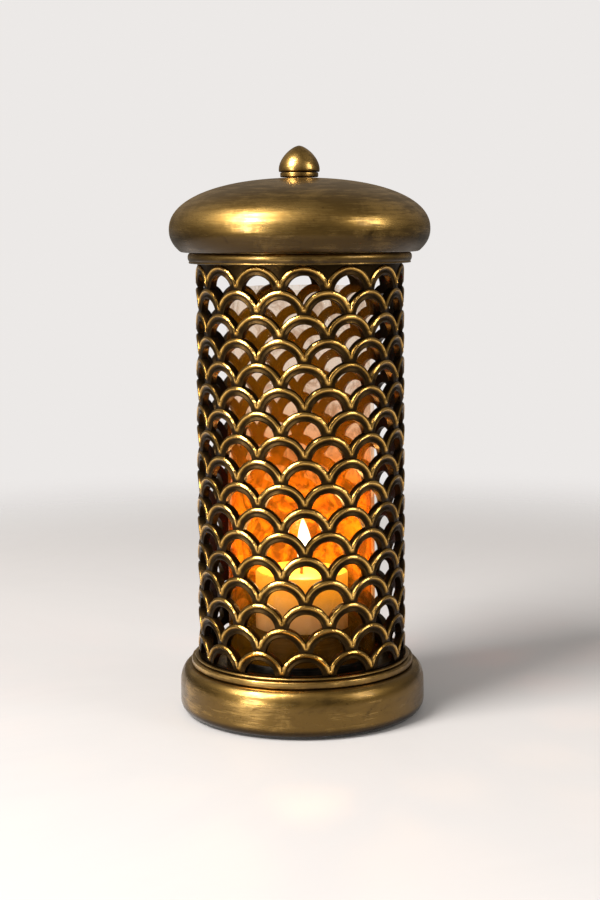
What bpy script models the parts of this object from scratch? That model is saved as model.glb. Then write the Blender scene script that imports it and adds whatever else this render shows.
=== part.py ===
"""Hurricane candle lantern: a pierced brass cage with a lift-off domed lid, a glass chimney and a candle.

Every sub-part is one object in metres, +Z up. The origin is on the lantern's axis, in the plane it stands on.
"""

from math import atan, cos, pi, radians, sin, sqrt

import bmesh
import bpy
from mathutils import Matrix, Vector

# Fits
GAP = 0.0003
SLIP = 0.0006
MERGE = 0.00001

# Pierced cage
CAGE_RADIUS = 0.065
CAGE_WALL = 0.003
ARCHES_ROUND = 14
ARCH_ROWS = 17
ROW_PITCH = 0.01435
BAR_OUT = 0.002
BAR_IN = 0.0039
FIRST_ROW_DROP = 0.0021
PATTERN_TURN = radians(2.0)
ARC_STEPS = 5
SILL_STEPS = 4

# Rings round the cage
TOP_RING_HEIGHT = 0.0066
TOP_RING_DEPTH = 0.0047
TOP_RING_LIFT = 0.0004
COLLAR_HEIGHT = 0.0042
COLLAR_DEPTH = 0.0041
COLLAR_FLANGE_THICK = 0.002
COLLAR_FLANGE_REACH = 0.0065
BEAD_HEIGHT = 0.0014
BEAD_DEPTH = 0.0018

# Base
BASE_HEIGHT = 0.0285
BASE_BELLY = 0.0114
BASE_BELLY_TOP = 0.0175
BASE_BELLY_LOW = 0.007
BASE_SHOULDER_LEDGE = 0.0013
BASE_WALL = 0.0016
BASE_FOOT_INSET = 0.004
FELT_THICK = 0.0012
FELT_WIDTH = 0.012

# Glass chimney and the gallery that holds its foot
GLASS_RADIUS = 0.046
GLASS_WALL = 0.0022
GLASS_STOPS_SHORT = 0.0217
GALLERY_WALL = 0.001
GALLERY_RIM_HEIGHT = 0.007

# Candle, wick and cup
CANDLE_RADIUS = 0.029
CANDLE_HEIGHT = 0.055
POOL_DEPTH = 0.0028
POOL_RIM = 0.0035
WICK_RADIUS = 0.0012
WICK_STANDS = 0.012
SUSTAINER_RADIUS = 0.008
SUSTAINER_THICK = 0.0011
SUSTAINER_NECK = 0.004
NECK_WALL = 0.0009
CUP_WALL = 0.001
CUP_HEIGHT = 0.0222
CUP_RIM_RADIUS = 0.0008

# Lid
DOME_OVERHANG = 0.0115
DOME_RISE = 0.032
DOME_BELLY_HEIGHT = 0.0141
DOME_BELLY_DROP = 0.03
DOME_ROUNDNESS = 2.2
DOME_WALL = 0.0015
DOME_CURL = 0.004
LOCATING_WALL = 0.0012
LOCATING_DEPTH = 0.0064
LOCATING_FLANGE = 0.0068
FINIAL_RADIUS = 0.0128
FINIAL_HEIGHT = 0.0164
FINIAL_COLLAR_RADIUS = 0.0119
FINIAL_COLLAR_HEIGHT = 0.003

# Fasteners
STUD_RADIUS = 0.002
STUD_BITE = 0.0105
STUD_TAIL = 0.0012
WASHER_RADIUS = 0.006
WASHER_THICK = 0.0012
NUT_RADIUS = 0.0042
NUT_THICK = 0.003
CAGE_SCREWS = 3
SCREW_RADIUS = 0.0015
SCREW_HEAD_RADIUS = 0.003
SCREW_HEAD_HEIGHT = 0.0016
CUP_SCREW_HEAD_RADIUS = 0.0045
CUP_SCREW_HEAD_HEIGHT = 0.0011
LID_RIVETS = 3
RIVET_RADIUS = 0.0012
RIVET_HEAD_RADIUS = 0.0024
RIVET_HEAD_HEIGHT = 0.001
SLOT_WIDTH = 0.0008
SLOT_DEPTH = 0.0006

# Facets round a turned piece
WIDE_STEPS = 36
MID_STEPS = 28
SMALL_STEPS = 14

# Heights and radii worked out from the values above
COLLAR_BOTTOM = BASE_HEIGHT + GAP
COLLAR_TOP = COLLAR_BOTTOM + COLLAR_HEIGHT
CAGE_BOTTOM = COLLAR_BOTTOM + COLLAR_FLANGE_THICK + GAP
BEAD_BOTTOM = COLLAR_TOP + GAP
SILL_HEIGHT = BEAD_BOTTOM + BEAD_HEIGHT + GAP
HALF_ARCH = pi * CAGE_RADIUS / ARCHES_ROUND
ARCH_OUTER = HALF_ARCH + BAR_OUT
ARCH_INNER = HALF_ARCH - BAR_IN
FIRST_ROW = SILL_HEIGHT - FIRST_ROW_DROP
TOP_ROW = FIRST_ROW + (ARCH_ROWS - 1) * ROW_PITCH
TOP_RING_BOTTOM = TOP_ROW + ARCH_OUTER + TOP_RING_LIFT
TOP_RING_TOP = TOP_RING_BOTTOM + TOP_RING_HEIGHT
CAGE_TOP = TOP_RING_TOP - GAP
CAGE_INNER = CAGE_RADIUS - CAGE_WALL
RING_BORE = CAGE_RADIUS + GAP
BELLY_RADIUS = CAGE_RADIUS + BASE_BELLY
BORE_RADIUS = STUD_RADIUS + GAP

GALLERY_BOTTOM = BASE_HEIGHT + GAP
GALLERY_FLOOR = GALLERY_BOTTOM + GALLERY_WALL
GALLERY_RADIUS = GLASS_RADIUS + SLIP + GALLERY_WALL
GLASS_BOTTOM = GALLERY_FLOOR + GAP
GLASS_TOP = CAGE_TOP - GLASS_STOPS_SHORT
CUP_BOTTOM = GALLERY_FLOOR + GAP
CUP_FLOOR = CUP_BOTTOM + CUP_WALL
CUP_BORE = CANDLE_RADIUS + SLIP
CANDLE_BOTTOM = CUP_FLOOR + GAP
CANDLE_TOP = CANDLE_BOTTOM + CANDLE_HEIGHT
CUP_SCREW_TOP = CUP_FLOOR + GAP + CUP_SCREW_HEAD_HEIGHT
SUSTAINER_BOTTOM = CUP_SCREW_TOP + GAP
SUSTAINER_TOP = SUSTAINER_BOTTOM + SUSTAINER_THICK
NECK_TOP = SUSTAINER_TOP + SUSTAINER_NECK
NECK_RADIUS = WICK_RADIUS + GAP + NECK_WALL

DOME_RADIUS = RING_BORE + TOP_RING_DEPTH + DOME_OVERHANG
DOME_BOTTOM = TOP_RING_TOP + GAP
DOME_BELLY = DOME_BOTTOM + DOME_BELLY_HEIGHT
DOME_TOP = DOME_BELLY + DOME_RISE
LOCATING_RADIUS = CAGE_INNER - SLIP
LIP_BORE = LOCATING_RADIUS + GAP
FLANGE_BOTTOM = DOME_BOTTOM + DOME_WALL + GAP
FLANGE_TOP = FLANGE_BOTTOM + LOCATING_WALL
FLANGE_RADIUS = LOCATING_RADIUS + LOCATING_FLANGE
RIVET_CIRCLE = (LIP_BORE + FLANGE_RADIUS) / 2
FINIAL_COLLAR_BOTTOM = DOME_TOP + GAP
FINIAL_BOTTOM = FINIAL_COLLAR_BOTTOM + FINIAL_COLLAR_HEIGHT + GAP
SCREW_CIRCLE = CAGE_INNER


def collection(name):
    """A new collection in the scene."""
    group = bpy.data.collections.new(name)
    bpy.context.scene.collection.children.link(group)
    return group


def clear_scene():
    """Remove every object that the file starts with."""
    for item in list(bpy.data.objects):
        bpy.data.objects.remove(item, do_unlink=True)


def finish(name, colour, roughness, metallic, transmission=0.0, glow=0.0):
    """A Principled material for one sub-part."""
    material = bpy.data.materials.new(name)
    material.use_nodes = True
    shader = material.node_tree.nodes["Principled BSDF"]
    shader.inputs["Base Color"].default_value = (*colour, 1.0)
    shader.inputs["Roughness"].default_value = roughness
    shader.inputs["Metallic"].default_value = metallic
    shader.inputs["Transmission Weight"].default_value = transmission
    shader.inputs["Emission Color"].default_value = (*colour, 1.0)
    shader.inputs["Emission Strength"].default_value = glow
    return material


def brass(name):
    """Aged brass, worn bright on the high places."""
    return finish(name, (0.42, 0.27, 0.09), 0.32, 1.0)


def steel(name):
    """Plain steel for what is hidden."""
    return finish(name, (0.45, 0.44, 0.42), 0.4, 1.0)


def add(mesh, material):
    """Put a mesh in the lantern's collection under its own name."""
    body = bpy.data.objects.new(mesh.name, mesh)
    mesh.materials.append(material)
    PIECES.objects.link(body)
    return body


def outline_mesh(name, outline, closed):
    """A chain of edges in the XZ plane through (radius, height) points."""
    mesh = bpy.data.meshes.new(name)
    bm = bmesh.new()
    points = [bm.verts.new((radius, 0.0, height)) for radius, height in outline]
    for start, end in zip(points, points[1:]):
        bm.edges.new((start, end))
    if closed:
        bm.edges.new((points[-1], points[0]))
    bm.to_mesh(mesh)
    bm.free()
    return mesh


def turn(body, steps):
    """Turn a body's outline once round the Z axis."""
    screw = body.modifiers.new("turn", "SCREW")
    screw.steps = steps
    screw.render_steps = steps
    screw.use_merge_vertices = True
    screw.merge_threshold = MERGE
    screw.use_smooth_shade = True
    return screw


def turned_ring(name, outline, steps, material):
    """A ring whose cut section is the closed outline, listed down its outer side and back up its inner side."""
    body = add(outline_mesh(name, outline, True), material)
    turn(body, steps)
    return body


def turned_solid(name, outline, steps, material):
    """A solid whose outline runs from the axis at the top, down its side, to the axis at the bottom."""
    body = add(outline_mesh(name, outline, False), material)
    turn(body, steps)
    return body


def cutter(name, bm):
    """Keep a cutting shape out of the model and hand it to whoever cuts with it."""
    mesh = bpy.data.meshes.new(name)
    bm.to_mesh(mesh)
    bm.free()
    tool = bpy.data.objects.new(name, mesh)
    tool.display_type = "WIRE"
    tool.hide_render = True
    CUTTERS.objects.link(tool)
    return tool


def drill(name, radius, low, high, centres):
    """Round cutters from one height to another, one at each (x, y) centre."""
    bm = bmesh.new()
    for x, y in centres:
        place = Matrix.Translation((x, y, (low + high) / 2))
        bmesh.ops.create_cone(bm, cap_ends=True, segments=SMALL_STEPS, radius1=radius, radius2=radius,
                              depth=high - low, matrix=place)
    return cutter(name, bm)


def slot(name, length, height, centre):
    """A screwdriver slot's cutter, centred on a height."""
    bm = bmesh.new()
    size = Matrix.Diagonal((length, SLOT_WIDTH, height, 1.0))
    bmesh.ops.create_cube(bm, size=1.0, matrix=Matrix.Translation(centre) @ size)
    return cutter(name, bm)


def cut(body, tool):
    """Take a cutter's shape out of a body."""
    boolean = body.modifiers.new(tool.name, "BOOLEAN")
    boolean.operation = "DIFFERENCE"
    boolean.solver = "EXACT"
    boolean.object = tool


def spaced(count, radius, start=0.0):
    """Centres spaced evenly on a circle."""
    angles = [start + 2 * pi * index / count for index in range(count)]
    return [(radius * cos(angle), radius * sin(angle)) for angle in angles]


def arc(centre, radius, start, end, steps):
    """Points along a circular arc in the section plane, angles in degrees."""
    angles = [radians(start + (end - start) * index / steps) for index in range(steps + 1)]
    return [(centre[0] + radius * cos(angle), centre[1] + radius * sin(angle)) for angle in angles]


# Base ---------------------------------------------------------------------------------------------------


def base_shell():
    """Spun pan, open below: a flat top, a full round shoulder, an upright belly and a foot that turns in."""
    foot = FELT_THICK + GAP
    shoulder = RING_BORE + COLLAR_DEPTH + BASE_SHOULDER_LEDGE
    foot_radius = BELLY_RADIUS - BASE_FOOT_INSET
    outline = [(BORE_RADIUS, BASE_HEIGHT)]
    for angle in (90, 60, 30, 0):
        outline.append((shoulder + (BELLY_RADIUS - shoulder) * cos(radians(angle)),
                        BASE_BELLY_TOP + (BASE_HEIGHT - BASE_BELLY_TOP) * sin(radians(angle))))
    for angle in (0, 45, 90):
        outline.append((foot_radius + (BELLY_RADIUS - foot_radius) * cos(radians(angle)),
                        BASE_BELLY_LOW - (BASE_BELLY_LOW - foot) * sin(radians(angle))))
    outline.append((foot_radius - FELT_WIDTH, foot))
    body = add(outline_mesh("base_shell", outline, False), brass("base_shell"))
    turn(body, WIDE_STEPS)
    wall = body.modifiers.new("wall", "SOLIDIFY")
    wall.thickness = BASE_WALL
    wall.offset = -1.0
    wall.use_even_offset = True
    reach = BASE_WALL + GAP
    holes = drill("base_screw_holes", SCREW_RADIUS + GAP, BASE_HEIGHT - reach, BASE_HEIGHT + reach,
                  spaced(CAGE_SCREWS, SCREW_CIRCLE))
    cut(body, holes)


def base_felt():
    """Felt ring glued under the turned-in foot."""
    outer = BELLY_RADIUS - BASE_FOOT_INSET
    inner = outer - FELT_WIDTH
    outline = [(outer, FELT_THICK), (outer, 0.0), (inner, 0.0), (inner, FELT_THICK)]
    turned_ring("base_felt", outline, WIDE_STEPS, finish("base_felt", (0.03, 0.03, 0.03), 0.95, 0.0))


# Cage ---------------------------------------------------------------------------------------------------


def cage_collar():
    """Ring at the foot of the cage: a wall round it and a flange that the cage stands on."""
    outer = RING_BORE + COLLAR_DEPTH
    flange = CAGE_INNER + GAP - COLLAR_FLANGE_REACH / 2
    flange_top = COLLAR_BOTTOM + COLLAR_FLANGE_THICK
    round_off = 0.0008
    outline = [(RING_BORE, COLLAR_TOP), (outer - round_off, COLLAR_TOP), (outer, COLLAR_TOP - round_off),
               (outer, COLLAR_BOTTOM + round_off), (outer - round_off, COLLAR_BOTTOM),
               (flange, COLLAR_BOTTOM), (flange, flange_top), (RING_BORE, flange_top)]
    body = turned_ring("cage_collar", outline, WIDE_STEPS, brass("cage_collar"))
    reach = COLLAR_FLANGE_THICK / 2 + GAP
    middle = COLLAR_BOTTOM + COLLAR_FLANGE_THICK / 2
    cut(body, drill("collar_screw_holes", SCREW_RADIUS + GAP, middle - reach, middle + reach,
                    spaced(CAGE_SCREWS, SCREW_CIRCLE)))


def cage_foot_bead():
    """Thin round bead on the collar."""
    middle = BEAD_BOTTOM + BEAD_HEIGHT / 2
    shoulder = RING_BORE + BEAD_DEPTH - BEAD_HEIGHT / 2
    outline = [(RING_BORE, BEAD_BOTTOM + BEAD_HEIGHT)]
    outline += arc((shoulder, middle), BEAD_HEIGHT / 2, 90, -90, 2)
    outline.append((RING_BORE, BEAD_BOTTOM))
    turned_ring("cage_foot_bead", outline, WIDE_STEPS, brass("cage_foot_bead"))


def cage_top_ring():
    """Half-round ring soldered round the cage's top band, where the lid rests."""
    middle = (TOP_RING_BOTTOM + TOP_RING_TOP) / 2
    half = TOP_RING_HEIGHT / 2
    outline = [(RING_BORE, TOP_RING_TOP)]
    bulge = TOP_RING_DEPTH - half * 0.6
    for point, height in arc((0.0, 0.0), 1.0, 90, -90, 4):
        outline.append((RING_BORE + bulge + point * half * 0.6, middle + height * half))
    outline.append((RING_BORE, TOP_RING_BOTTOM))
    turned_ring("cage_top_ring", outline, WIDE_STEPS, brass("cage_top_ring"))


def on_cage(along, height):
    """The point on the cage's outer face at a distance along its girth and a height."""
    angle = along / CAGE_RADIUS - pi / 2 + PATTERN_TURN
    return Vector((CAGE_RADIUS * cos(angle), CAGE_RADIUS * sin(angle), height))


def arch_corner():
    """Where an arch's inner edge meets the outer edge of the arches below it: half width and height."""
    offset = (HALF_ARCH ** 2 + ROW_PITCH ** 2 + ARCH_INNER ** 2 - ARCH_OUTER ** 2) / 2
    span = HALF_ARCH ** 2 + ROW_PITCH ** 2
    along = sqrt(ARCH_INNER ** 2 - offset ** 2 / span)
    scale = sqrt(span)
    half_width = (HALF_ARCH * offset / scale + ROW_PITCH * along) / scale
    height = (-ROW_PITCH * offset / scale + HALF_ARCH * along) / scale
    return half_width, height


def arch_inner_edge(half_width, height):
    """Points on an arch's inner arc, from its left corner over the crown to its right corner."""
    low = radians(90) - bend(half_width, height)
    turns = [pi - low - (pi - 2 * low) * step / ARC_STEPS for step in range(ARC_STEPS + 1)]
    return [(ARCH_INNER * cos(turn_angle), ARCH_INNER * sin(turn_angle)) for turn_angle in turns]


def bend(half_width, height):
    """Angle from the upright to the point at a half width and a height."""
    return Vector((height, half_width)).angle_signed(Vector((1.0, 0.0)))


def arch_outer_edge():
    """Points on an arch's outer arc: notch, middle and corner on each side."""
    half_width, height = arch_corner()
    notch = sqrt(ARCH_OUTER ** 2 - HALF_ARCH ** 2)
    corner_x, corner_z = HALF_ARCH - half_width, ROW_PITCH + height
    middle_angle = (bend(HALF_ARCH, notch) + bend(corner_x, corner_z)) / 2
    middle_x, middle_z = ARCH_OUTER * sin(middle_angle), ARCH_OUTER * cos(middle_angle)
    left = [(-HALF_ARCH, notch), (-middle_x, middle_z), (-corner_x, corner_z)]
    return left + [(-x, z) for x, z in reversed(left)]


def face(bm, places):
    """One face of the cage's outer surface through places given as (along, height), anticlockwise."""
    bm.faces.new([bm.verts.new(on_cage(*place)) for place in places])


def arch(bm, along, height, corner):
    """One arch: a strip between its inner and outer arcs, and the gusset where its left foot meets the next."""
    inner = [(along + x, height + z) for x, z in arch_inner_edge(*corner)]
    outer = [(along + x, height + z) for x, z in arch_outer_edge()]
    for index in range(ARC_STEPS):
        face(bm, [inner[index], inner[index + 1], outer[index + 1], outer[index]])
    neighbour = (along - 2 * HALF_ARCH + corner[0], height + corner[1])
    face(bm, [neighbour, inner[0], outer[0]])


def top_band(bm, along):
    """The plain band over one arch of the top row."""
    edge = [(along + x, TOP_ROW + z) for x, z in arch_outer_edge()]
    for (left_x, left_z), (right_x, right_z) in zip(edge, edge[1:]):
        face(bm, [(left_x, left_z), (right_x, right_z), (right_x, CAGE_TOP), (left_x, CAGE_TOP)])


def bottom_band(bm, along, half_width):
    """The plain band under one arch of the bottom row, which shuts its opening flat."""
    sill = [-half_width + 2 * half_width * step / SILL_STEPS for step in range(SILL_STEPS + 1)]
    stops = [half_width - 2 * HALF_ARCH] + sill
    for left, right in zip(stops, stops[1:]):
        face(bm, [(along + left, CAGE_BOTTOM), (along + right, CAGE_BOTTOM),
                  (along + right, SILL_HEIGHT), (along + left, SILL_HEIGHT)])


def cage_lattice():
    """Pierced tube of fish-scale arches, each row shifted by half an arch from the next."""
    bm = bmesh.new()
    corner = arch_corner()
    sill_corner = (sqrt(ARCH_INNER ** 2 - FIRST_ROW_DROP ** 2), FIRST_ROW_DROP)
    for row in range(ARCH_ROWS):
        shift = HALF_ARCH * (row % 2)
        for index in range(ARCHES_ROUND):
            along = shift + 2 * HALF_ARCH * index
            arch(bm, along, FIRST_ROW + row * ROW_PITCH, corner if row else sill_corner)
            if row == 0:
                bottom_band(bm, along, sill_corner[0])
            if row == ARCH_ROWS - 1:
                top_band(bm, along)
    bmesh.ops.remove_doubles(bm, verts=bm.verts, dist=MERGE)
    mesh = bpy.data.meshes.new("cage_lattice")
    bm.to_mesh(mesh)
    bm.free()
    mesh.shade_smooth()
    body = add(mesh, brass("cage_lattice"))
    wall = body.modifiers.new("wall", "SOLIDIFY")
    wall.thickness = CAGE_WALL
    wall.offset = -1.0
    wall.use_even_offset = True


def cage_screws():
    """Screws up through the base into the collar's flange, their heads in the hollow of the base."""
    head_top = BASE_HEIGHT - BASE_WALL - GAP
    head_bottom = head_top - SCREW_HEAD_HEIGHT
    tip = COLLAR_BOTTOM + COLLAR_FLANGE_THICK - GAP
    outline = [(0.0, tip), (SCREW_RADIUS, tip), (SCREW_RADIUS, head_top), (SCREW_HEAD_RADIUS, head_top),
               (SCREW_HEAD_RADIUS, head_bottom + SLOT_DEPTH), (SCREW_HEAD_RADIUS * 0.7, head_bottom),
               (0.0, head_bottom)]
    for index, (x, y) in enumerate(spaced(CAGE_SCREWS, SCREW_CIRCLE), 1):
        name = f"cage_screw_{index}"
        body = turned_solid(name, outline, SMALL_STEPS, steel(name))
        body.location = (x, y, 0.0)
        tool = slot(f"{name}_slot", 3 * SCREW_HEAD_RADIUS, 2 * SLOT_DEPTH, (x, y, head_bottom))
        cut(body, tool)


# Floor of the cage, chimney and candle ------------------------------------------------------------------


def glass_gallery():
    """Shallow dish whose upturned rim holds the foot of the chimney."""
    rim = GALLERY_BOTTOM + GALLERY_RIM_HEIGHT
    bore = GALLERY_RADIUS - GALLERY_WALL
    round_off = GALLERY_WALL
    outline = [(bore, rim), (GALLERY_RADIUS, rim), (GALLERY_RADIUS, GALLERY_BOTTOM + round_off),
               (GALLERY_RADIUS - round_off, GALLERY_BOTTOM), (BORE_RADIUS, GALLERY_BOTTOM),
               (BORE_RADIUS, GALLERY_FLOOR), (bore, GALLERY_FLOOR)]
    turned_ring("glass_gallery", outline, MID_STEPS, brass("glass_gallery"))


def glass_chimney():
    """Straight glass tube with rounded rims."""
    inner = GLASS_RADIUS - GLASS_WALL
    top = GLASS_TOP
    round_off = GLASS_WALL / 4
    outline = [(inner + round_off, top), (GLASS_RADIUS - round_off, top), (GLASS_RADIUS, top - round_off),
               (GLASS_RADIUS, GLASS_BOTTOM), (inner, GLASS_BOTTOM), (inner, top - round_off)]
    clear = finish("glass_chimney", (0.95, 0.75, 0.45), 0.05, 0.0, transmission=1.0)
    turned_ring("glass_chimney", outline, MID_STEPS, clear)


def candle_cup():
    """Spun cup with a rolled rim, screwed down through its floor."""
    outer = CUP_BORE + CUP_WALL
    rim = CUP_BOTTOM + CUP_HEIGHT - CUP_RIM_RADIUS
    roll = arc((outer + CUP_RIM_RADIUS * 0.5, rim), CUP_RIM_RADIUS, 120, -120, 4)
    outline = [(CUP_BORE, rim)] + roll
    outline += [(outer, CUP_BOTTOM + CUP_WALL), (outer - CUP_WALL, CUP_BOTTOM), (BORE_RADIUS, CUP_BOTTOM),
                (BORE_RADIUS, CUP_FLOOR), (CUP_BORE, CUP_FLOOR)]
    turned_ring("candle_cup", outline, MID_STEPS, finish("candle_cup", (0.11, 0.10, 0.09), 0.45, 0.9))


def cup_screw():
    """Slotted screw that holds the cup and the gallery down on the base."""
    head_bottom = CUP_FLOOR + GAP
    tail = BASE_HEIGHT - BASE_WALL - 3 * GAP - WASHER_THICK - NUT_THICK - STUD_TAIL
    edge = CUP_SCREW_HEAD_HEIGHT / 2
    outline = [(0.0, CUP_SCREW_TOP), (CUP_SCREW_HEAD_RADIUS - edge, CUP_SCREW_TOP),
               (CUP_SCREW_HEAD_RADIUS, head_bottom + edge), (CUP_SCREW_HEAD_RADIUS, head_bottom),
               (STUD_RADIUS, head_bottom), (STUD_RADIUS, tail), (0.0, tail)]
    body = turned_solid("cup_screw", outline, SMALL_STEPS, steel("cup_screw"))
    cut(body, slot("cup_screw_slot", 3 * CUP_SCREW_HEAD_RADIUS, SLOT_DEPTH * 2, (0, 0, CUP_SCREW_TOP)))


def washer(name, top):
    """Flat washer with its top face at a height."""
    bottom = top - WASHER_THICK
    outline = [(WASHER_RADIUS, top), (WASHER_RADIUS, bottom), (BORE_RADIUS, bottom), (BORE_RADIUS, top)]
    turned_ring(name, outline, SMALL_STEPS, steel(name))


def nut(name, top):
    """Hexagon nut with its top face at a height."""
    bm = bmesh.new()
    place = Matrix.Translation((0.0, 0.0, top - NUT_THICK / 2))
    bmesh.ops.create_cone(bm, cap_ends=True, segments=6, radius1=NUT_RADIUS, radius2=NUT_RADIUS,
                          depth=NUT_THICK, matrix=place)
    mesh = bpy.data.meshes.new(name)
    bm.to_mesh(mesh)
    bm.free()
    body = add(mesh, steel(name))
    cut(body, drill(f"{name}_bore", BORE_RADIUS, top - 2 * NUT_THICK, top + NUT_THICK, [(0.0, 0.0)]))


def candle():
    """Short pillar of wax with a melted pool, a bore for the wick and a recess for its sustainer."""
    bore = WICK_RADIUS + GAP
    neck = NECK_RADIUS + GAP
    recess = SUSTAINER_RADIUS + GAP
    pool = CANDLE_TOP - POOL_DEPTH
    rim = CANDLE_RADIUS - POOL_RIM
    outline = [(bore, pool), (rim - 0.0015, pool + 0.0002), (rim + 0.0012, CANDLE_TOP - 0.0003),
               (rim + 0.0022, CANDLE_TOP), (CANDLE_RADIUS, CANDLE_TOP - 0.0012),
               (CANDLE_RADIUS, CANDLE_BOTTOM + 0.0008), (CANDLE_RADIUS - 0.0008, CANDLE_BOTTOM),
               (recess, CANDLE_BOTTOM),
               (recess, SUSTAINER_TOP + GAP), (neck, SUSTAINER_TOP + GAP), (neck, NECK_TOP + GAP),
               (bore, NECK_TOP + GAP)]
    wax = finish("candle", (0.93, 0.72, 0.42), 0.5, 0.0, glow=0.4)
    turned_ring("candle", outline, MID_STEPS, wax)


def wick_sustainer():
    """Pressed tin foot of the wick: a disc and a neck with a blind socket."""
    socket = WICK_RADIUS + GAP
    outline = [(0.0, SUSTAINER_TOP), (socket, SUSTAINER_TOP), (socket, NECK_TOP), (NECK_RADIUS, NECK_TOP),
               (NECK_RADIUS, SUSTAINER_TOP), (SUSTAINER_RADIUS, SUSTAINER_TOP),
               (SUSTAINER_RADIUS, SUSTAINER_BOTTOM), (0.0, SUSTAINER_BOTTOM)]
    turned_solid("wick_sustainer", outline, SMALL_STEPS, steel("wick_sustainer"))


def wick():
    """Straight cotton wick from the sustainer's socket to above the pool."""
    bottom = SUSTAINER_TOP + GAP
    top = CANDLE_TOP - POOL_DEPTH + WICK_STANDS
    edge = WICK_RADIUS / 3
    outline = [(0.0, top), (WICK_RADIUS - edge, top), (WICK_RADIUS, top - edge), (WICK_RADIUS, bottom),
               (0.0, bottom)]
    turned_solid("wick", outline, SMALL_STEPS, finish("wick", (0.05, 0.035, 0.02), 0.9, 0.0))


# Lid ----------------------------------------------------------------------------------------------------


def dome_radius(drop):
    """The dome's radius and the lean of its side, at a drop below the belly."""
    level = 1 - (drop / DOME_BELLY_DROP) ** DOME_ROUNDNESS
    slope = DOME_RADIUS / DOME_BELLY_DROP * (drop / DOME_BELLY_DROP) ** (DOME_ROUNDNESS - 1)
    return DOME_RADIUS * level ** (1 / DOME_ROUNDNESS), atan(slope * level ** (1 / DOME_ROUNDNESS - 1))


def dome_outline():
    """The dome's outer line: a squared ellipse over and under the belly, a curl and a flat lip turned in."""
    outline = [(BORE_RADIUS, DOME_TOP)]
    for step in range(1, 8):
        angle = radians(90 - 90 / 7 * step)
        outline.append((DOME_RADIUS * cos(angle) ** (2 / DOME_ROUNDNESS),
                        DOME_BELLY + DOME_RISE * max(sin(angle), 0.0) ** (2 / DOME_ROUNDNESS)))
    drop = DOME_BELLY_HEIGHT
    for _ in range(20):
        drop = DOME_BELLY_HEIGHT - DOME_CURL * (1 - sin(dome_radius(drop)[1]))
    for part in (0.5, 1.0):
        outline.append((dome_radius(drop * part)[0], DOME_BELLY - drop * part))
    radius, lean = dome_radius(drop)
    middle = radius - DOME_CURL * cos(lean), DOME_BOTTOM + DOME_CURL
    outline += arc(middle, DOME_CURL, -lean * 180 / pi, -90, 2)[1:]
    outline.append((LIP_BORE, DOME_BOTTOM))
    return outline


def rivet_centres():
    """Centres of the rivets that hold the locating ring in the lid."""
    return spaced(LID_RIVETS, RIVET_CIRCLE, radians(30))


def lid_dome():
    """Spun dome with a lip turned in at the bottom."""
    body = add(outline_mesh("lid_dome", dome_outline(), False), brass("lid_dome"))
    turn(body, WIDE_STEPS)
    wall = body.modifiers.new("wall", "SOLIDIFY")
    wall.thickness = DOME_WALL
    wall.offset = -1.0
    wall.use_even_offset = True
    cut(body, drill("lip_rivet_holes", RIVET_RADIUS + GAP, DOME_BOTTOM - DOME_WALL,
                    DOME_BOTTOM + 2 * DOME_WALL, rivet_centres()))


def lid_locating_ring():
    """Ring inside the lid: a flange on the dome's lip and a skirt that drops into the cage."""
    inner = LOCATING_RADIUS - LOCATING_WALL
    skirt_bottom = TOP_RING_TOP - LOCATING_DEPTH
    outline = [(inner, FLANGE_TOP), (FLANGE_RADIUS, FLANGE_TOP), (FLANGE_RADIUS, FLANGE_BOTTOM),
               (LOCATING_RADIUS, FLANGE_BOTTOM), (LOCATING_RADIUS, skirt_bottom), (inner, skirt_bottom)]
    body = turned_ring("lid_locating_ring", outline, WIDE_STEPS, brass("lid_locating_ring"))
    cut(body, drill("flange_rivet_holes", RIVET_RADIUS + GAP, FLANGE_BOTTOM - LOCATING_WALL,
                    FLANGE_TOP + LOCATING_WALL, rivet_centres()))


def lid_rivets():
    """Rivets through the locating ring's flange and the dome's lip, flush below."""
    tail = DOME_BOTTOM + GAP
    head_bottom = FLANGE_TOP + GAP
    head_top = head_bottom + RIVET_HEAD_HEIGHT
    outline = [(0.0, head_top), (RIVET_HEAD_RADIUS * 0.6, head_top - RIVET_HEAD_HEIGHT * 0.2),
               (RIVET_HEAD_RADIUS, head_bottom), (RIVET_RADIUS, head_bottom), (RIVET_RADIUS, tail),
               (0.0, tail)]
    for index, (x, y) in enumerate(rivet_centres(), 1):
        name = f"lid_rivet_{index}"
        body = turned_solid(name, outline, SMALL_STEPS, steel(name))
        body.location = (x, y, 0.0)


def finial_collar():
    """Rounded collar between the dome and the finial."""
    middle = FINIAL_COLLAR_BOTTOM + FINIAL_COLLAR_HEIGHT / 2
    half = FINIAL_COLLAR_HEIGHT / 2
    outline = [(BORE_RADIUS, FINIAL_COLLAR_BOTTOM + FINIAL_COLLAR_HEIGHT)]
    outline += arc((FINIAL_COLLAR_RADIUS - half, middle), half, 90, -90, 4)
    outline.append((BORE_RADIUS, FINIAL_COLLAR_BOTTOM))
    turned_ring("finial_collar", outline, MID_STEPS, brass("finial_collar"))


def finial():
    """Acorn-shaped finial with a blind threaded hole."""
    top = FINIAL_BOTTOM + FINIAL_HEIGHT
    widest = FINIAL_BOTTOM + 0.07 * FINIAL_HEIGHT
    hole_top = FINIAL_BOTTOM + STUD_BITE + GAP
    outline = [(0.0, top)]
    for share in (0.03, 0.12, 0.27, 0.47, 0.72, 1.0):
        width = sin(share * pi / 2) ** 0.62
        outline.append((FINIAL_RADIUS * width, top - (top - widest) * share))
    outline += [(FINIAL_RADIUS * 0.92, FINIAL_BOTTOM), (BORE_RADIUS, FINIAL_BOTTOM), (BORE_RADIUS, hole_top)]
    outline.append((0.0, hole_top))
    turned_solid("finial", outline, MID_STEPS, brass("finial"))


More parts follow.
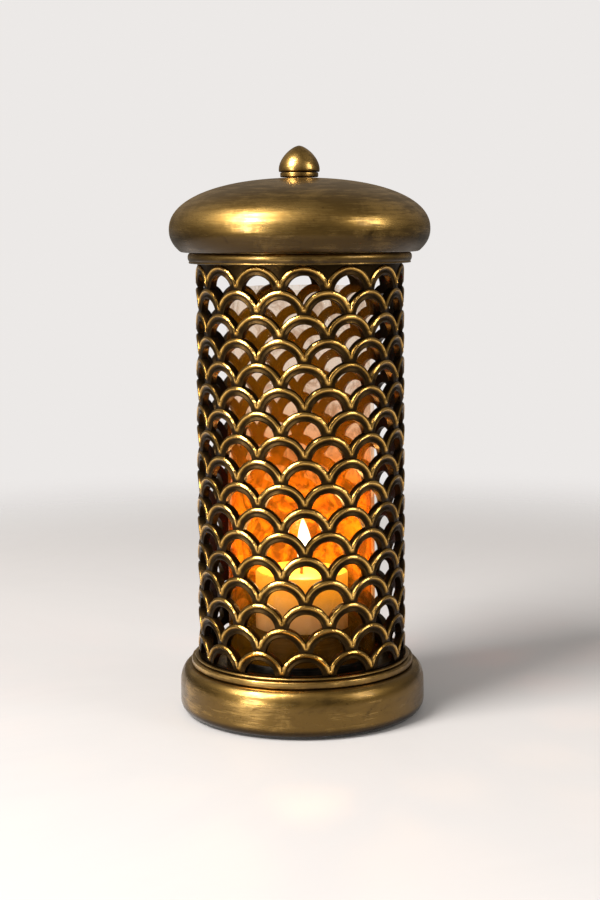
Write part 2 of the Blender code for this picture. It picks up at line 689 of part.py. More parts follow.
def finial_stud():
    """Threaded stud from the finial down through the dome, washer and nut."""
    top = FINIAL_BOTTOM + STUD_BITE
    bottom = DOME_TOP - DOME_WALL - 3 * GAP - WASHER_THICK - NUT_THICK - STUD_TAIL
    outline = [(0.0, top), (STUD_RADIUS, top), (STUD_RADIUS, bottom), (0.0, bottom)]
    turned_solid("finial_stud", outline, SMALL_STEPS, steel("finial_stud"))


def build():
    """Make every sub-part."""
    base_felt()
    base_shell()
    cage_collar()
    cage_foot_bead()
    cage_lattice()
    cage_top_ring()
    cage_screws()
    glass_gallery()
    glass_chimney()
    candle_cup()
    cup_screw()
    under_base = BASE_HEIGHT - BASE_WALL - GAP
    washer("cup_washer", under_base)
    nut("cup_nut", under_base - WASHER_THICK - GAP)
    candle()
    wick_sustainer()
    wick()
    lid_dome()
    lid_locating_ring()
    lid_rivets()
    finial_collar()
    finial()
    finial_stud()
    under_dome = DOME_TOP - DOME_WALL - 2 * GAP
    washer("lid_washer", under_dome)
    nut("lid_nut", under_dome - WASHER_THICK - GAP)


clear_scene()
PIECES = collection("hurricane_lantern")
CUTTERS = collection("cutters")
build()
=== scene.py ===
"""Hurricane candle lantern: the fine pieces and finishes of a pierced brass lantern with a lit candle.

Laid out as a Blender add-on and run as a script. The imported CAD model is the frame: every size that the
CAD settles is read from it, in metres, +Z up, with the origin on the axis in the plane it stands on.
"""

from math import cos, pi, radians, sin, sqrt

import bpy
import numpy as np
from bpy.props import FloatProperty, FloatVectorProperty, IntProperty, PointerProperty
from bpy.types import Operator, Panel, PropertyGroup
from mathutils import Euler, Matrix, Vector


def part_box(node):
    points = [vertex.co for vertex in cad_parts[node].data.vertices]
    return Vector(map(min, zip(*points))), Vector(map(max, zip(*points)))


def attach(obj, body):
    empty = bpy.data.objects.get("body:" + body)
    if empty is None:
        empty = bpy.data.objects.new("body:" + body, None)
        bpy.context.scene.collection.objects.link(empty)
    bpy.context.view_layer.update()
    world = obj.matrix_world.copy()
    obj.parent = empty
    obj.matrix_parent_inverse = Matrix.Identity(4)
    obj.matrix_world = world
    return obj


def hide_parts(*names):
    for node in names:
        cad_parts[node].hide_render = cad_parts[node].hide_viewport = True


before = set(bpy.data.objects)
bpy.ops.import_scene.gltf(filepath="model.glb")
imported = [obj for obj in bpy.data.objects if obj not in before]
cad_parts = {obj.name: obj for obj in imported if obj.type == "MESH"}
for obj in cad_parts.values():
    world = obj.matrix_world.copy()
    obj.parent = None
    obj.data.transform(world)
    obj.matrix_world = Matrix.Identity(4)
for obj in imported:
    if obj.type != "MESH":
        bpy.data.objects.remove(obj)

bl_info = {
    "name": "Hurricane Candle Lantern",
    "version": (1, 0, 0),
    "blender": (4, 5, 0),
    "location": "View3D > Sidebar > Lantern",
    "description": "Builds the pieces and finishes of a pierced brass hurricane lantern and its lit candle",
    "category": "Add Mesh",
}

GAP = 0.0003
SCREW_HOLE = 0.0023
TOP_RING_DEPTH = 0.0047
TAU = 2 * pi


def reach(node):
    """Outer radius, lowest and highest height of a round CAD node on the axis."""
    low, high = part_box(node)
    return high.x, low.z, high.z


CAGE_RADIUS = reach("cage_top_ring")[0] - TOP_RING_DEPTH - GAP
SILL_HEIGHT = reach("cage_foot_bead")[2] + GAP


# Settings -----------------------------------------------------------------------------------------------


def length(name, description, default):
    """A length in metres that a user may change."""
    return FloatProperty(name=name, description=description, default=default, min=0.0, unit="LENGTH", precision=5)


def angle(name, description, degrees):
    """An angle that a user may change."""
    return FloatProperty(name=name, description=description, default=radians(degrees), unit="ROTATION")


def power(name, description, default):
    """A light's power in watts that a user may change."""
    return FloatProperty(name=name, description=description, default=default, min=0.0, unit="POWER")


def colour(name, description, default):
    """A linear colour that a user may change."""
    return FloatVectorProperty(name=name, description=description, default=default, subtype="COLOR", size=3,
                               min=0.0, max=1.0)


class LanternCageSizes(PropertyGroup):
    """Sizes of the pierced cage and the rings round it."""

    arches_round: IntProperty(name="Arches round", description="Arches in one row round the cage", default=14, min=3)
    arch_rows: IntProperty(name="Rows", description="Rows of arches from the sill to the top band", default=17, min=2)
    row_pitch: length("Row pitch", "Height from one row of arches to the next", 0.01435)
    bar_out: length("Bar outside", "Width of an arch's bar outside half an arch", 0.002)
    bar_in: length("Bar inside", "Width of an arch's bar inside half an arch", 0.0039)
    sill_drop: length("Sill drop", "How far the sill stands over the middle of the first row's arcs", 0.0021)
    pattern_turn: angle("Pattern turn", "Turn of the pattern round the axis", 2.0)
    wall: length("Wall", "Thickness of the cage's wall at its two ends", 0.003)
    deepening: length("Deepening", "How much thicker the bars are between the ends, on the inside", 0.0018)
    groove: length("Groove", "Depth of the groove between an arch's ridge and its inner lip", 0.00125)
    band_recess: length("Band recess", "Depth of the plain plates over the top row", 0.001)


class LanternLidSizes(PropertyGroup):
    """Sizes of the domed lid and its finial."""

    belly_height: length("Belly height", "Height of the dome's widest place over its rim", 0.0141)
    belly_drop: length("Belly drop", "Depth of the half ellipse under the belly", 0.03)
    roundness: FloatProperty(name="Roundness", description="Power of the dome's squared ellipse", default=2.2, min=1.0)
    curl: length("Curl", "Radius of the curl at the dome's rim", 0.004)
    wall: length("Wall", "Thickness of the dome's wall", 0.0015)
    finial_swell: FloatProperty(name="Finial swell", description="Power of the finial's outline", default=0.62, min=0.1)


class LanternBaseSizes(PropertyGroup):
    """Sizes of the spun base."""

    belly_top: length("Belly top", "Height where the shoulder's curve starts", 0.0175)
    belly_low: length("Belly foot", "Height where the foot's curve starts", 0.007)
    shoulder: length("Shoulder", "Radius where the flat top ends", 0.0707)
    foot_inset: length("Foot inset", "How far the foot turns in", 0.004)
    wall: length("Wall", "Thickness of the base's wall", 0.0016)


class LanternCandleSizes(PropertyGroup):
    """Sizes of the candle and its flame."""

    pool_depth: length("Pool depth", "Depth of the melted pool under the rim", 0.0028)
    pool_rim: length("Pool rim", "Width of the rim round the pool", 0.0035)
    flame_bottom: length("Flame foot", "Height of the flame's foot", 0.0888)
    flame_top: length("Flame tip", "Height of the flame's tip", 0.1194)
    flame_radius: length("Flame radius", "Radius of the flame at its widest", 0.0066)
    flame_power: power("Flame power", "Light that the flame gives", 0.55)


class LanternColours(PropertyGroup):
    """Colours of the finishes."""

    brass: colour("Brass", "Brass rubbed bright", (0.60, 0.37, 0.108))
    patina: colour("Patina", "Aged brass", (0.20, 0.118, 0.030))
    # The darkest brown serves real age in the hollows and the painted shade on down-facing spun brass.
    tarnish_and_shade: colour("Tarnish", "The darkest brown on the brass", (0.030, 0.017, 0.006))
    glass: colour("Glass", "Light amber of the chimney", (0.97, 0.94, 0.90))
    soot: colour("Soot", "Brown mottle on the glass", (0.16, 0.065, 0.018))
    # Painted glow: this orange stands for the flame's light in the glass's base colour and emission.
    glow: colour("Glow", "Flame light caught in the glass", (1.0, 0.40, 0.015))
    wax: colour("Wax", "Wax away from the flame", (0.56, 0.41, 0.23))
    steel: colour("Steel", "Plain steel", (0.45, 0.44, 0.42))
    felt: colour("Felt", "Felt under the foot", (0.035, 0.034, 0.033))
    floor: colour("Floor", "Pale floor", (0.47, 0.455, 0.45))
    backdrop: colour("Backdrop", "Pale wall behind the lantern", (0.84, 0.815, 0.80))


class LanternStageSizes(PropertyGroup):
    """Where the camera and the lights stand."""

    eye_distance: length("Eye distance", "Distance of the camera from the axis", 1.042)
    eye_height: length("Eye height", "Height of the camera over the floor", 0.303)
    lens: FloatProperty(name="Lens", description="Focal length", default=66.68, min=10.0, unit="CAMERA")
    tilt: angle("Tilt", "How far the camera looks down", 2.473)
    roll: angle("Roll", "How far the camera leans", -0.35)
    shift: FloatProperty(name="Shift", description="Upright shift of the picture", default=-0.17)
    key_power: power("Key light", "Power of the large light at the left", 82.0)
    side_power: power("Side light", "Power of the light at the right", 9.0)
    low_power: power("Low light", "Power of the low light at the left", 13.0)
    floor_radius: length("Floor radius", "Radius of the round floor", 1.05)


class LanternSettings(PropertyGroup):
    """All of the lantern's settings."""

    cage: PointerProperty(type=LanternCageSizes)
    lid: PointerProperty(type=LanternLidSizes)
    base: PointerProperty(type=LanternBaseSizes)
    candle: PointerProperty(type=LanternCandleSizes)
    colours: PointerProperty(type=LanternColours)
    stage: PointerProperty(type=LanternStageSizes)


# Surfaces -----------------------------------------------------------------------------------------------


def turned(outline, segments, ring):
    """Carry an outline of (radius r, height h) round the axis: x = r cos t, y = r sin t, z = h.

    The outline runs up the outside. A ring's outline closes on itself, a solid's starts and ends on the
    axis, where each end is one point. Gives the points, the faces and each point's (cos t, sin t, run),
    run being the length along the outline.
    """
    outline = np.asarray(outline, float)
    radius, height = outline[:, 0], outline[:, 1]
    turn = np.arange(segments) * TAU / segments
    run = np.concatenate([[0.0], np.cumsum(np.hypot(np.diff(radius), np.diff(height)))])
    flat = np.ones(segments)
    points = np.stack([np.outer(radius, np.cos(turn)), np.outer(radius, np.sin(turn)), np.outer(height, flat)], -1)
    level = np.ones(len(outline))
    spun = np.stack([np.outer(level, np.cos(turn)), np.outer(level, np.sin(turn)), np.outer(run, flat)], -1)
    index = np.arange(len(outline) * segments).reshape(len(outline), segments)
    index[radius < 1e-9] = index[radius < 1e-9][:, :1]
    low = index if ring else index[:-1]
    high = np.roll(index, -1, 0) if ring else index[1:]
    return points.reshape(-1, 3), skin(low, high), spun.reshape(-1, 3)


def skin(low, high):
    """Faces between rings of point numbers: four corners, and three where a face ends in a pole."""
    quads = np.stack([low, np.roll(low, -1, 1), np.roll(high, -1, 1), high], -1).reshape(-1, 4)
    low, high = quads[:, 0] == quads[:, 1], quads[:, 2] == quads[:, 3]
    return [quads[~low & ~high], quads[low & ~high][:, 1:], quads[high & ~low][:, :3]]


def spindle(name, points):
    """A closed mesh object from rings of points (steps, around, 3), the first and the last ring being poles."""
    index = np.arange(points[..., 0].size).reshape(points.shape[:2])
    index[0], index[-1] = index[0, 0], index[-1, 0]
    return mesh_object(name, points.reshape(-1, 3), skin(index[:-1], index[1:]))


def arc(centre, radii, start, end, steps):
    """Points (cr + a cos u, cz + b sin u) for u from start to end, in degrees."""
    turn = np.radians(np.linspace(start, end, steps + 1))
    return np.stack([centre[0] + radii[0] * np.cos(turn), centre[1] + radii[1] * np.sin(turn)], -1)


def low_corner(radius, height, ease, steps=5):
    """The rounded corner outside and below."""
    return arc((radius - ease, height + ease), (ease, ease), -90, 0, steps)


def high_corner(radius, height, ease, steps=5, end=90):
    """The rounded corner outside and above, or with 180 the whole rounded top of a wall."""
    return arc((radius - ease, height - ease), (ease, ease), 0, end, steps)


def line(*parts):
    """One outline from points and runs of points, with no point twice."""
    points = np.concatenate([np.atleast_2d(np.asarray(part, float)) for part in parts])
    keep = np.concatenate([[True], np.hypot(*np.diff(points, axis=0).T) > 1e-7])
    return points[keep]


def filled(outline, step):
    """The same outline with its long straight runs cut into steps of about one length."""
    starts, ends = outline[:-1], outline[1:]
    counts = np.maximum(1, np.round(np.hypot(*(ends - starts).T) / step)).astype(int)
    runs = [start + (end - start) * np.arange(count)[:, None] / count
            for start, end, count in zip(starts, ends, counts)]
    return np.concatenate(runs + [outline[-1:]])


def walled(outer, wall):
    """The closed outline between an outer line and the same line moved in by a wall: p - wall * n, n its normal."""
    slope = np.gradient(outer, axis=0)
    slope /= np.hypot(*slope.T)[:, None]
    normal = np.stack([slope[:, 1], -slope[:, 0]], -1)
    return np.concatenate([outer, (outer - wall * normal)[::-1]])


def mesh_object(name, points, faces, **attributes):
    """A mesh object from an array of points and arrays of faces, one array for each number of corners."""
    faces = [group for group in faces if len(group)]
    used, flat = np.unique(np.concatenate([group.ravel() for group in faces]), return_inverse=True)
    sizes = np.concatenate([np.full(len(group), group.shape[1]) for group in faces])
    mesh = bpy.data.meshes.new(name)
    mesh.vertices.add(len(used))
    mesh.vertices.foreach_set("co", points[used].astype(np.float32).ravel())
    mesh.loops.add(len(flat))
    mesh.loops.foreach_set("vertex_index", flat.astype(np.int32))
    mesh.polygons.add(len(sizes))
    mesh.polygons.foreach_set("loop_start", (np.cumsum(sizes) - sizes).astype(np.int32))
    for key, values in attributes.items():
        values = values[used]
        kind = "FLOAT_VECTOR" if values.ndim == 2 else "FLOAT"
        layer = mesh.attributes.new(key, kind, "POINT")
        layer.data.foreach_set("vector" if values.ndim == 2 else "value", values.astype(np.float32).ravel())
    mesh.update(calc_edges=True)
    if mesh.validate():
        raise RuntimeError(f"{name} has faces that can't be used")
    mesh.shade_smooth()
    mesh.set_sharp_from_angle(angle=radians(40.0))
    made = bpy.data.objects.new(name, mesh)
    bpy.context.scene.collection.objects.link(made)
    return made


def settle(made, finish, body, slot, *nodes):
    """Give a piece its finish, its body and the CAD nodes that it stands for."""
    made.data.materials.append(kept(finish))
    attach(made, body)
    if nodes:
        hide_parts(*nodes)


def turned_piece(name, outline, finish, body, slot, node, segments=192, ring=True):
    """A turned piece with its run attribute, settled in a CAD node's place."""
    points, faces, spun = turned(outline, segments, ring)
    settle(mesh_object(name, points, faces, spun=spun), finish, body, slot, node)


# Finishes -----------------------------------------------------------------------------------------------


class Nodes:
    """A node tree, made a node at a time."""

    def __init__(self, tree):
        self.tree = tree

    def node(self, kind, inputs=(), **settings):
        """A node with its settings and its inputs, each a value or another node's output."""
        made = self.tree.nodes.new(kind)
        for key, value in settings.items():
            setattr(made, key, value)
        for key, value in dict(inputs).items():
            self.feed(made.inputs[key], value)
        return made

    def feed(self, socket, value):
        """Join an output to a socket, or set the socket's own value."""
        if isinstance(value, bpy.types.NodeSocket):
            self.tree.links.new(value, socket)
        elif hasattr(value, "__len__") and len(value) == 3 and socket.type == "RGBA":
            socket.default_value = (*value, 1.0)
        else:
            socket.default_value = value

    def part(self, vector, axis):
        """One part of a vector."""
        return self.node("ShaderNodeSeparateXYZ", {0: vector}).outputs[axis]

    def mix(self, factor, first, second):
        """Two colours mixed by a factor."""
        return self.node("ShaderNodeMix", {0: factor, 6: first, 7: second}, data_type="RGBA").outputs[2]


class Finish(Nodes):
    """The node tree of one finish, round a Principled shader."""

    def __init__(self, name):
        material = bpy.data.materials.new(name)
        material.use_nodes = True
        super().__init__(material.node_tree)
        self.shader = self.tree.nodes["Principled BSDF"]
        self.colours = bpy.context.scene.lantern.colours

    def set(self, **values):
        """Set or join the shader's sockets, underscores standing for spaces."""
        for key, value in values.items():
            self.feed(self.shader.inputs[key.replace("_", " ")], value)

    def place(self):
        """The point in the piece's own space, in metres."""
        return self.node("ShaderNodeTexCoord").outputs["Object"]

    def height(self):
        """The point's height in metres."""
        return self.part(self.place(), "Z")

    def facing_up(self):
        """How far the surface faces up: 1 level, 0 upright, -1 facing down."""
        return self.part(self.node("ShaderNodeNewGeometry").outputs["Normal"], "Z")

    def attribute(self, name, output="Vector"):
        """A value that the mesh holds at its points."""
        return self.node("ShaderNodeAttribute", attribute_name=name).outputs[output]

    def noise(self, vector, scale, detail=3.0, roughness=0.55, distortion=0.0):
        """Cloudy noise between nothing and one, its scale one number or one for each axis."""
        if isinstance(scale, tuple):
            vector, scale = self.node("ShaderNodeMapping", {"Vector": vector, "Scale": scale}).outputs[0], 1.0
        return self.node("ShaderNodeTexNoise", {"Vector": vector, "Scale": scale, "Detail": detail,
                                                "Roughness": roughness, "Distortion": distortion}).outputs[0]

    def span(self, value, low, high, to_low=0.0, to_high=1.0):
        """A value's range moved to another range, smoothly and held at its ends."""
        return self.node("ShaderNodeMapRange", {"Value": value, "From Min": low, "From Max": high, "To Min": to_low,
                                                "To Max": to_high}, interpolation_type="SMOOTHSTEP").outputs[0]

    def sum(self, first, second, operation="ADD"):
        """Two values added, or joined by another operation."""
        return self.node("ShaderNodeMath", {0: first, 1: second}, operation=operation).outputs[0]

    def times(self, first, *others):
        """Values multiplied."""
        for other in others:
            first = self.sum(first, other, "MULTIPLY")
        return first

    def weigh(self, first, *parts):
        """A value with others added to it, each given with its weight."""
        for value, weight in parts:
            first = self.sum(first, self.times(value, weight))
        return first

    def see_through(self, cover, tint):
        """Mix the shader with clear, tinted air: cover 1 is all shader, 0 all air."""
        air = self.node("ShaderNodeBsdfTransparent", {"Color": tint})
        blend = self.node("ShaderNodeMixShader", {0: cover, 1: air.outputs[0], 2: self.shader.outputs[0]})
        self.feed(self.tree.nodes["Material Output"].inputs["Surface"], blend.outputs[0])

    def bump(self, height, strength, distance):
        """A small relief in the surface."""
        self.set(Normal=self.node("ShaderNodeBump", {"Height": height, "Strength": strength,
                                                     "Distance": distance}).outputs[0])


def kept(make):
    """The finish that a function works out, made the first time it is asked for."""
    name = f"{make.__name__}_finish"
    if name not in bpy.data.materials:
        make(Finish(name))
    return bpy.data.materials[name]


def spun_brass(finish):
    """Brass spun on a lathe and aged: fine lines round it, cloudy brown patina and small dark specks, with painted
    shade where it faces down and darker towards the bottom.
    """
    colours, place, spun = finish.colours, finish.place(), finish.attribute("spun")
    lines = finish.noise(spun, (6.0, 6.0, 1700.0), 3.0, 0.65)
    bands = finish.noise(spun, (2.6, 2.6, 300.0), 4.0, 0.6)
    blotches = finish.noise(spun, (3.6, 3.6, 95.0), 5.0, 0.65, 0.4)
    clouds = finish.noise(place, 24.0, 5.0, 0.65, 0.8)
    age = finish.weigh(finish.times(clouds, 0.46), (bands, 0.32), (lines, 0.22))
    # Painted shade: under darkens the brass where its surface faces down, a little in the brass-to-patina mix and most
    # in the mix to the darkest brown.
    under = finish.span(finish.facing_up(), 0.20, -0.45)
    # foot: darker towards the bottom.
    foot = finish.span(finish.height(), 0.029, 0.025)
    aged = finish.span(finish.weigh(age, (under, 0.06), (foot, 0.06)), 0.42, 0.56)
    base = finish.mix(aged, colours.brass, colours.patina)
    # This mix holds real patina blotches and the painted shade of the down-facing surfaces, with a little of the
    # darkening at the bottom.
    stain_and_shade = finish.weigh(finish.times(finish.span(blotches, 0.52, 0.72), 0.32), (under, 0.72), (foot, 0.12))
    base = finish.mix(finish.span(stain_and_shade, 0.0, 1.0), base, colours.tarnish_and_shade)
    specks = finish.times(finish.span(finish.noise(place, 640.0, 2.0, 0.5), 0.66, 0.74), 0.4)
    base = finish.mix(specks, base, colours.tarnish_and_shade)
    rough = finish.weigh(finish.span(age, 0.40, 0.60, 0.19, 0.33), (lines, 0.12))
    finish.set(Base_Color=base, Metallic=1.0, Roughness=rough, Anisotropic=0.2, Coat_Weight=0.18, Coat_Roughness=0.13,
               Tangent=finish.node("ShaderNodeTangent", direction_type="RADIAL", axis="Z").outputs[0])
    finish.bump(finish.weigh(lines, (blotches, 0.4)), 0.42, 0.00012)


def cast_brass(finish):
    """Cast brass: dark in the recesses, brown on the flanks and rubbed bright on the ridges."""
    place, relief = finish.place(), finish.attribute("relief", "Fac")
    clouds = finish.noise(place, 45.0, 4.0, 0.6, 0.5)
    grain = finish.noise(place, 700.0, 3.0, 0.6)
    pits = finish.noise(place, 330.0, 3.0, 0.6)
    wear = finish.weigh(relief, (finish.sum(clouds, -0.5), 0.9), (finish.sum(grain, -0.5), 0.35))
    low = finish.mix(finish.span(wear, 0.28, 0.74), finish.colours.tarnish_and_shade, (0.31, 0.165, 0.032))
    base = finish.mix(finish.span(wear, 0.62, 1.0), low, (0.86, 0.52, 0.145))
    finish.set(Base_Color=base, Metallic=1.0, Roughness=finish.span(wear, 0.2, 1.0, 0.40, 0.16))
    finish.bump(finish.weigh(grain, (pits, 1.6), (clouds, 1.5)), 0.45, 0.00030)


def dark_brass(finish):
    """Brass darkened by heat, dull, with worn lines round it."""
    lines = finish.noise(finish.attribute("spun"), (0.8, 0.8, 900.0), 3.0, 0.6)
    clouds = finish.noise(finish.place(), 60.0, 4.0, 0.6)
    worn = finish.weigh(finish.times(lines, 0.5), (clouds, 0.5))
    base = finish.mix(finish.span(worn, 0.4, 0.62), (0.010, 0.009, 0.008), (0.045, 0.037, 0.028))
    finish.set(Base_Color=base, Metallic=0.85, Roughness=finish.span(clouds, 0.35, 0.65, 0.34, 0.55))
    finish.bump(lines, 0.2, 0.0001)


def plain_steel(finish):
    """Zinc-plated steel of the hidden fasteners, with a fine grain and dull spots."""
    place = finish.place()
    grain = finish.noise(place, (900.0, 900.0, 240.0), 3.0, 0.6)
    spots = finish.noise(place, 420.0, 4.0, 0.6)
    base = finish.mix(finish.span(spots, 0.45, 0.7), finish.colours.steel, (0.24, 0.22, 0.19))
    finish.set(Base_Color=base, Metallic=1.0, Roughness=finish.span(grain, 0.3, 0.7, 0.26, 0.46))
    finish.bump(grain, 0.15, 0.00008)


def felt(finish):
    """Pressed felt: short fibres lying every way."""
    place = finish.place()
    fibres = finish.noise(place, (2600.0, 900.0, 2600.0), 4.0, 0.7, 1.2)
    crossing = finish.noise(place, (900.0, 2600.0, 2600.0), 4.0, 0.7, 1.2)
    nap = finish.sum(fibres, crossing, "MAXIMUM")
    base = finish.mix(finish.span(nap, 0.45, 0.8), finish.colours.felt, (0.11, 0.105, 0.10))
    finish.set(Base_Color=base, Roughness=0.97, Sheen_Weight=0.5, Sheen_Roughness=0.5)
    finish.bump(nap, 0.8, 0.0004)


def amber_glass(finish):
    """Thin light amber glass with brown soot mottles, most of all behind the flame, the flame's orange glow painted
    into its tint and emission, and painted shade under the flame at the back.
    """
    colours, candle, place = finish.colours, bpy.context.scene.lantern.candle, finish.place()
    flame = (candle.flame_bottom + candle.flame_top) / 2
    mottles = finish.noise(place, (92.0, 92.0, 73.6), 5.0, 0.68, 0.9)
    clouds = finish.noise(place, 26.0, 3.0, 0.5)
    # over: the painted glow fades from the flame's height to 112 mm above it.
    over = finish.span(finish.height(), flame - 0.004, flame + 0.112, 1.0, 0.0)
    # under: the painted glow starts a little under the flame; lower down the back gets painted shade.
    under = finish.span(finish.height(), flame - 0.074, flame - 0.022)
    # stained: the back of the glass, at +Y, gets more soot, more painted glow and the painted shade.
    stained = finish.span(finish.part(place, "Y"), -0.030, 0.020, 0.10, 1.0)
    # Painted glow: the flame's light laid into the glass by height and side, in clouds.
    painted_glow = finish.times(over, stained, finish.span(clouds, 0.2, 0.6, 0.8, 1.0))
    # Soot mottles, stronger at the back and where the painted glow is.
    soot_and_glow = finish.times(finish.span(finish.weigh(mottles, (painted_glow, 0.06)), 0.48, 0.64),
                          finish.weigh(finish.times(stained, 0.40), (painted_glow, 0.35)))
    # Painted glow: the clear tint turns orange where the flame's light is painted.
    tint = finish.mix(painted_glow, colours.glass, (0.94, 0.44, 0.035))
    # Soot mottles tint brown, and dark orange where the painted glow is.
    tint = finish.mix(soot_and_glow, tint, finish.mix(painted_glow, (0.48, 0.34, 0.22), (0.40, 0.12, 0.01)))
    # Painted shade: below the flame the back of the glass turns nearly black.
    tint = finish.mix(finish.times(finish.span(under, 0.0, 1.0, 0.95, 0.0), stained), tint, (0.035, 0.026, 0.020))
    # Painted glow strength for the emission, broken by the mottles.
    painted_glow_strength = finish.times(painted_glow, painted_glow, under, finish.span(mottles, 0.40, 0.60, 1.0, 0.15))
    # The shader's colour is the painted glow's orange, soot brown in the mottles; its emission is the painted glow.
    finish.set(Base_Color=finish.mix(soot_and_glow, colours.glow, colours.soot), Roughness=0.06, IOR=1.46,
               Emission_Color=finish.mix(painted_glow_strength, (0.0, 0.0, 0.0), colours.glow), Emission_Strength=1.1)
    finish.bump(mottles, 0.08, 0.0002)
    finish.see_through(finish.sum(finish.weigh(finish.times(soot_and_glow, 0.12), (painted_glow_strength, 0.16)), 0.04), tint)


def candle_wax(finish):
    """Wax with the flame's glow painted in, as emission and as an orange base colour by the top: pale round the wick,
    orange at the rim, beige below.
    """
    place, top = finish.place(), reach("candle")[2]
    clouds = finish.noise(place, 85.0, 3.0, 0.5)
    lift = finish.weigh(finish.height(), (finish.sum(clouds, -0.5), 0.012))
    # Painted glow: strongest at the top, by the flame.
    painted_glow_near_top = finish.span(lift, top - 0.034, top - 0.001)
    # The emission is the painted glow: dark low down, orange by the top, pale at the very top and on faces that look
    # up.
    light = finish.mix(painted_glow_near_top, (0.06, 0.030, 0.008), (0.86, 0.38, 0.010))
    light = finish.mix(finish.span(lift, top - 0.010, top), light, (1.0, 0.52, 0.05))
    light = finish.mix(finish.span(finish.facing_up(), 0.3, 0.8), light, (0.62, 0.40, 0.07))
    base = finish.mix(finish.span(clouds, 0.3, 0.7), finish.colours.wax, (0.42, 0.29, 0.14))
    # Painted glow: the base colour turns orange by the top.
    base = finish.mix(painted_glow_near_top, base, (0.66, 0.36, 0.045))
    finish.set(Base_Color=base, Roughness=finish.span(clouds, 0.3, 0.7, 0.32, 0.5), Subsurface_Weight=0.35,
               Subsurface_Radius=(0.010, 0.005, 0.002), Subsurface_Scale=1.0, Emission_Color=light,
               Emission_Strength=0.75)
    finish.bump(finish.noise(place, 160.0, 3.0, 0.5), 0.12, 0.0005)


def burnt_wick(finish):
    """Braided cotton, burnt black in the flame and brown at its foot, with a painted glow that is strongest at its
    foot.
    """
    foot = reach("candle")[2] - bpy.context.scene.lantern.candle.pool_depth
    burnt = finish.span(finish.height(), foot + 0.001, foot + 0.007)
    strands = finish.noise(finish.place(), (1400.0, 1400.0, 500.0), 3.0, 0.6)
    base = finish.mix(burnt, (0.30, 0.13, 0.035), (0.018, 0.013, 0.010))
    base = finish.mix(finish.span(strands, 0.4, 0.7, 0.0, 0.5), base, (0.05, 0.035, 0.02))
    # Painted glow: the wick's emission, brightest at its foot.
    painted_wick_glow = finish.mix(burnt, (0.55, 0.16, 0.02), (0.10, 0.02, 0.0))
    finish.set(Base_Color=base, Roughness=0.92, Emission_Color=painted_wick_glow, Emission_Strength=0.5)
    finish.bump(strands, 0.6, 0.0003)


def flame_light(finish):
    """The flame: pale yellow-white through its body, orange at its tip and foot."""
    candle = bpy.context.scene.lantern.candle
    low, tall = candle.flame_bottom, candle.flame_top - candle.flame_bottom
    flicker = finish.sum(finish.noise(finish.place(), 260.0, 2.0), -0.5)
    height = finish.weigh(finish.height(), (flicker, 0.004))
    body = finish.mix(finish.span(height, low, low + tall * 0.28), (1.0, 0.42, 0.10), (1.0, 0.90, 0.66))
    tip = finish.mix(finish.span(height, low + tall * 0.55, low + tall), body, (1.0, 0.62, 0.20))
    finish.set(Base_Color=(0.0, 0.0, 0.0), Roughness=1.0, Specular_IOR_Level=0.0, Emission_Color=tip,
               Emission_Strength=7.0)


def pale_floor(finish):
    """Pale stone floor with a soft cloud in it, fading out at its edge."""
    place, edge = finish.place(), bpy.context.scene.lantern.stage.floor_radius
    clouds = finish.noise(place, 3.2, 5.0, 0.6, 0.8)
    darker = tuple(part * 0.955 for part in finish.colours.floor)
    away = finish.node("ShaderNodeVectorMath", {0: place}, operation="LENGTH").outputs["Value"]
    finish.set(Base_Color=finish.mix(finish.span(clouds, 0.35, 0.7), finish.colours.floor, darker),
               Roughness=finish.span(clouds, 0.3, 0.7, 0.44, 0.54), Specular_IOR_Level=0.3,
               Alpha=finish.span(away, edge * 0.5, edge * 0.98, 1.0, 0.0))


# Cage ---------------------------------------------------------------------------------------------------

ACROSS = np.array([0.0, 0.12, 0.38, 0.72, 0.90, 1.0])
RISE = np.array([-0.95, -0.60, -1.00, 0.08, -0.18, -0.90])
BEVEL_SHARE = 0.2
PLATE_SHARES = np.array([0.0, 0.12, 1.0])
LEG_STEPS = 2
ARC_STEPS = 5
SILL_STEPS = 6


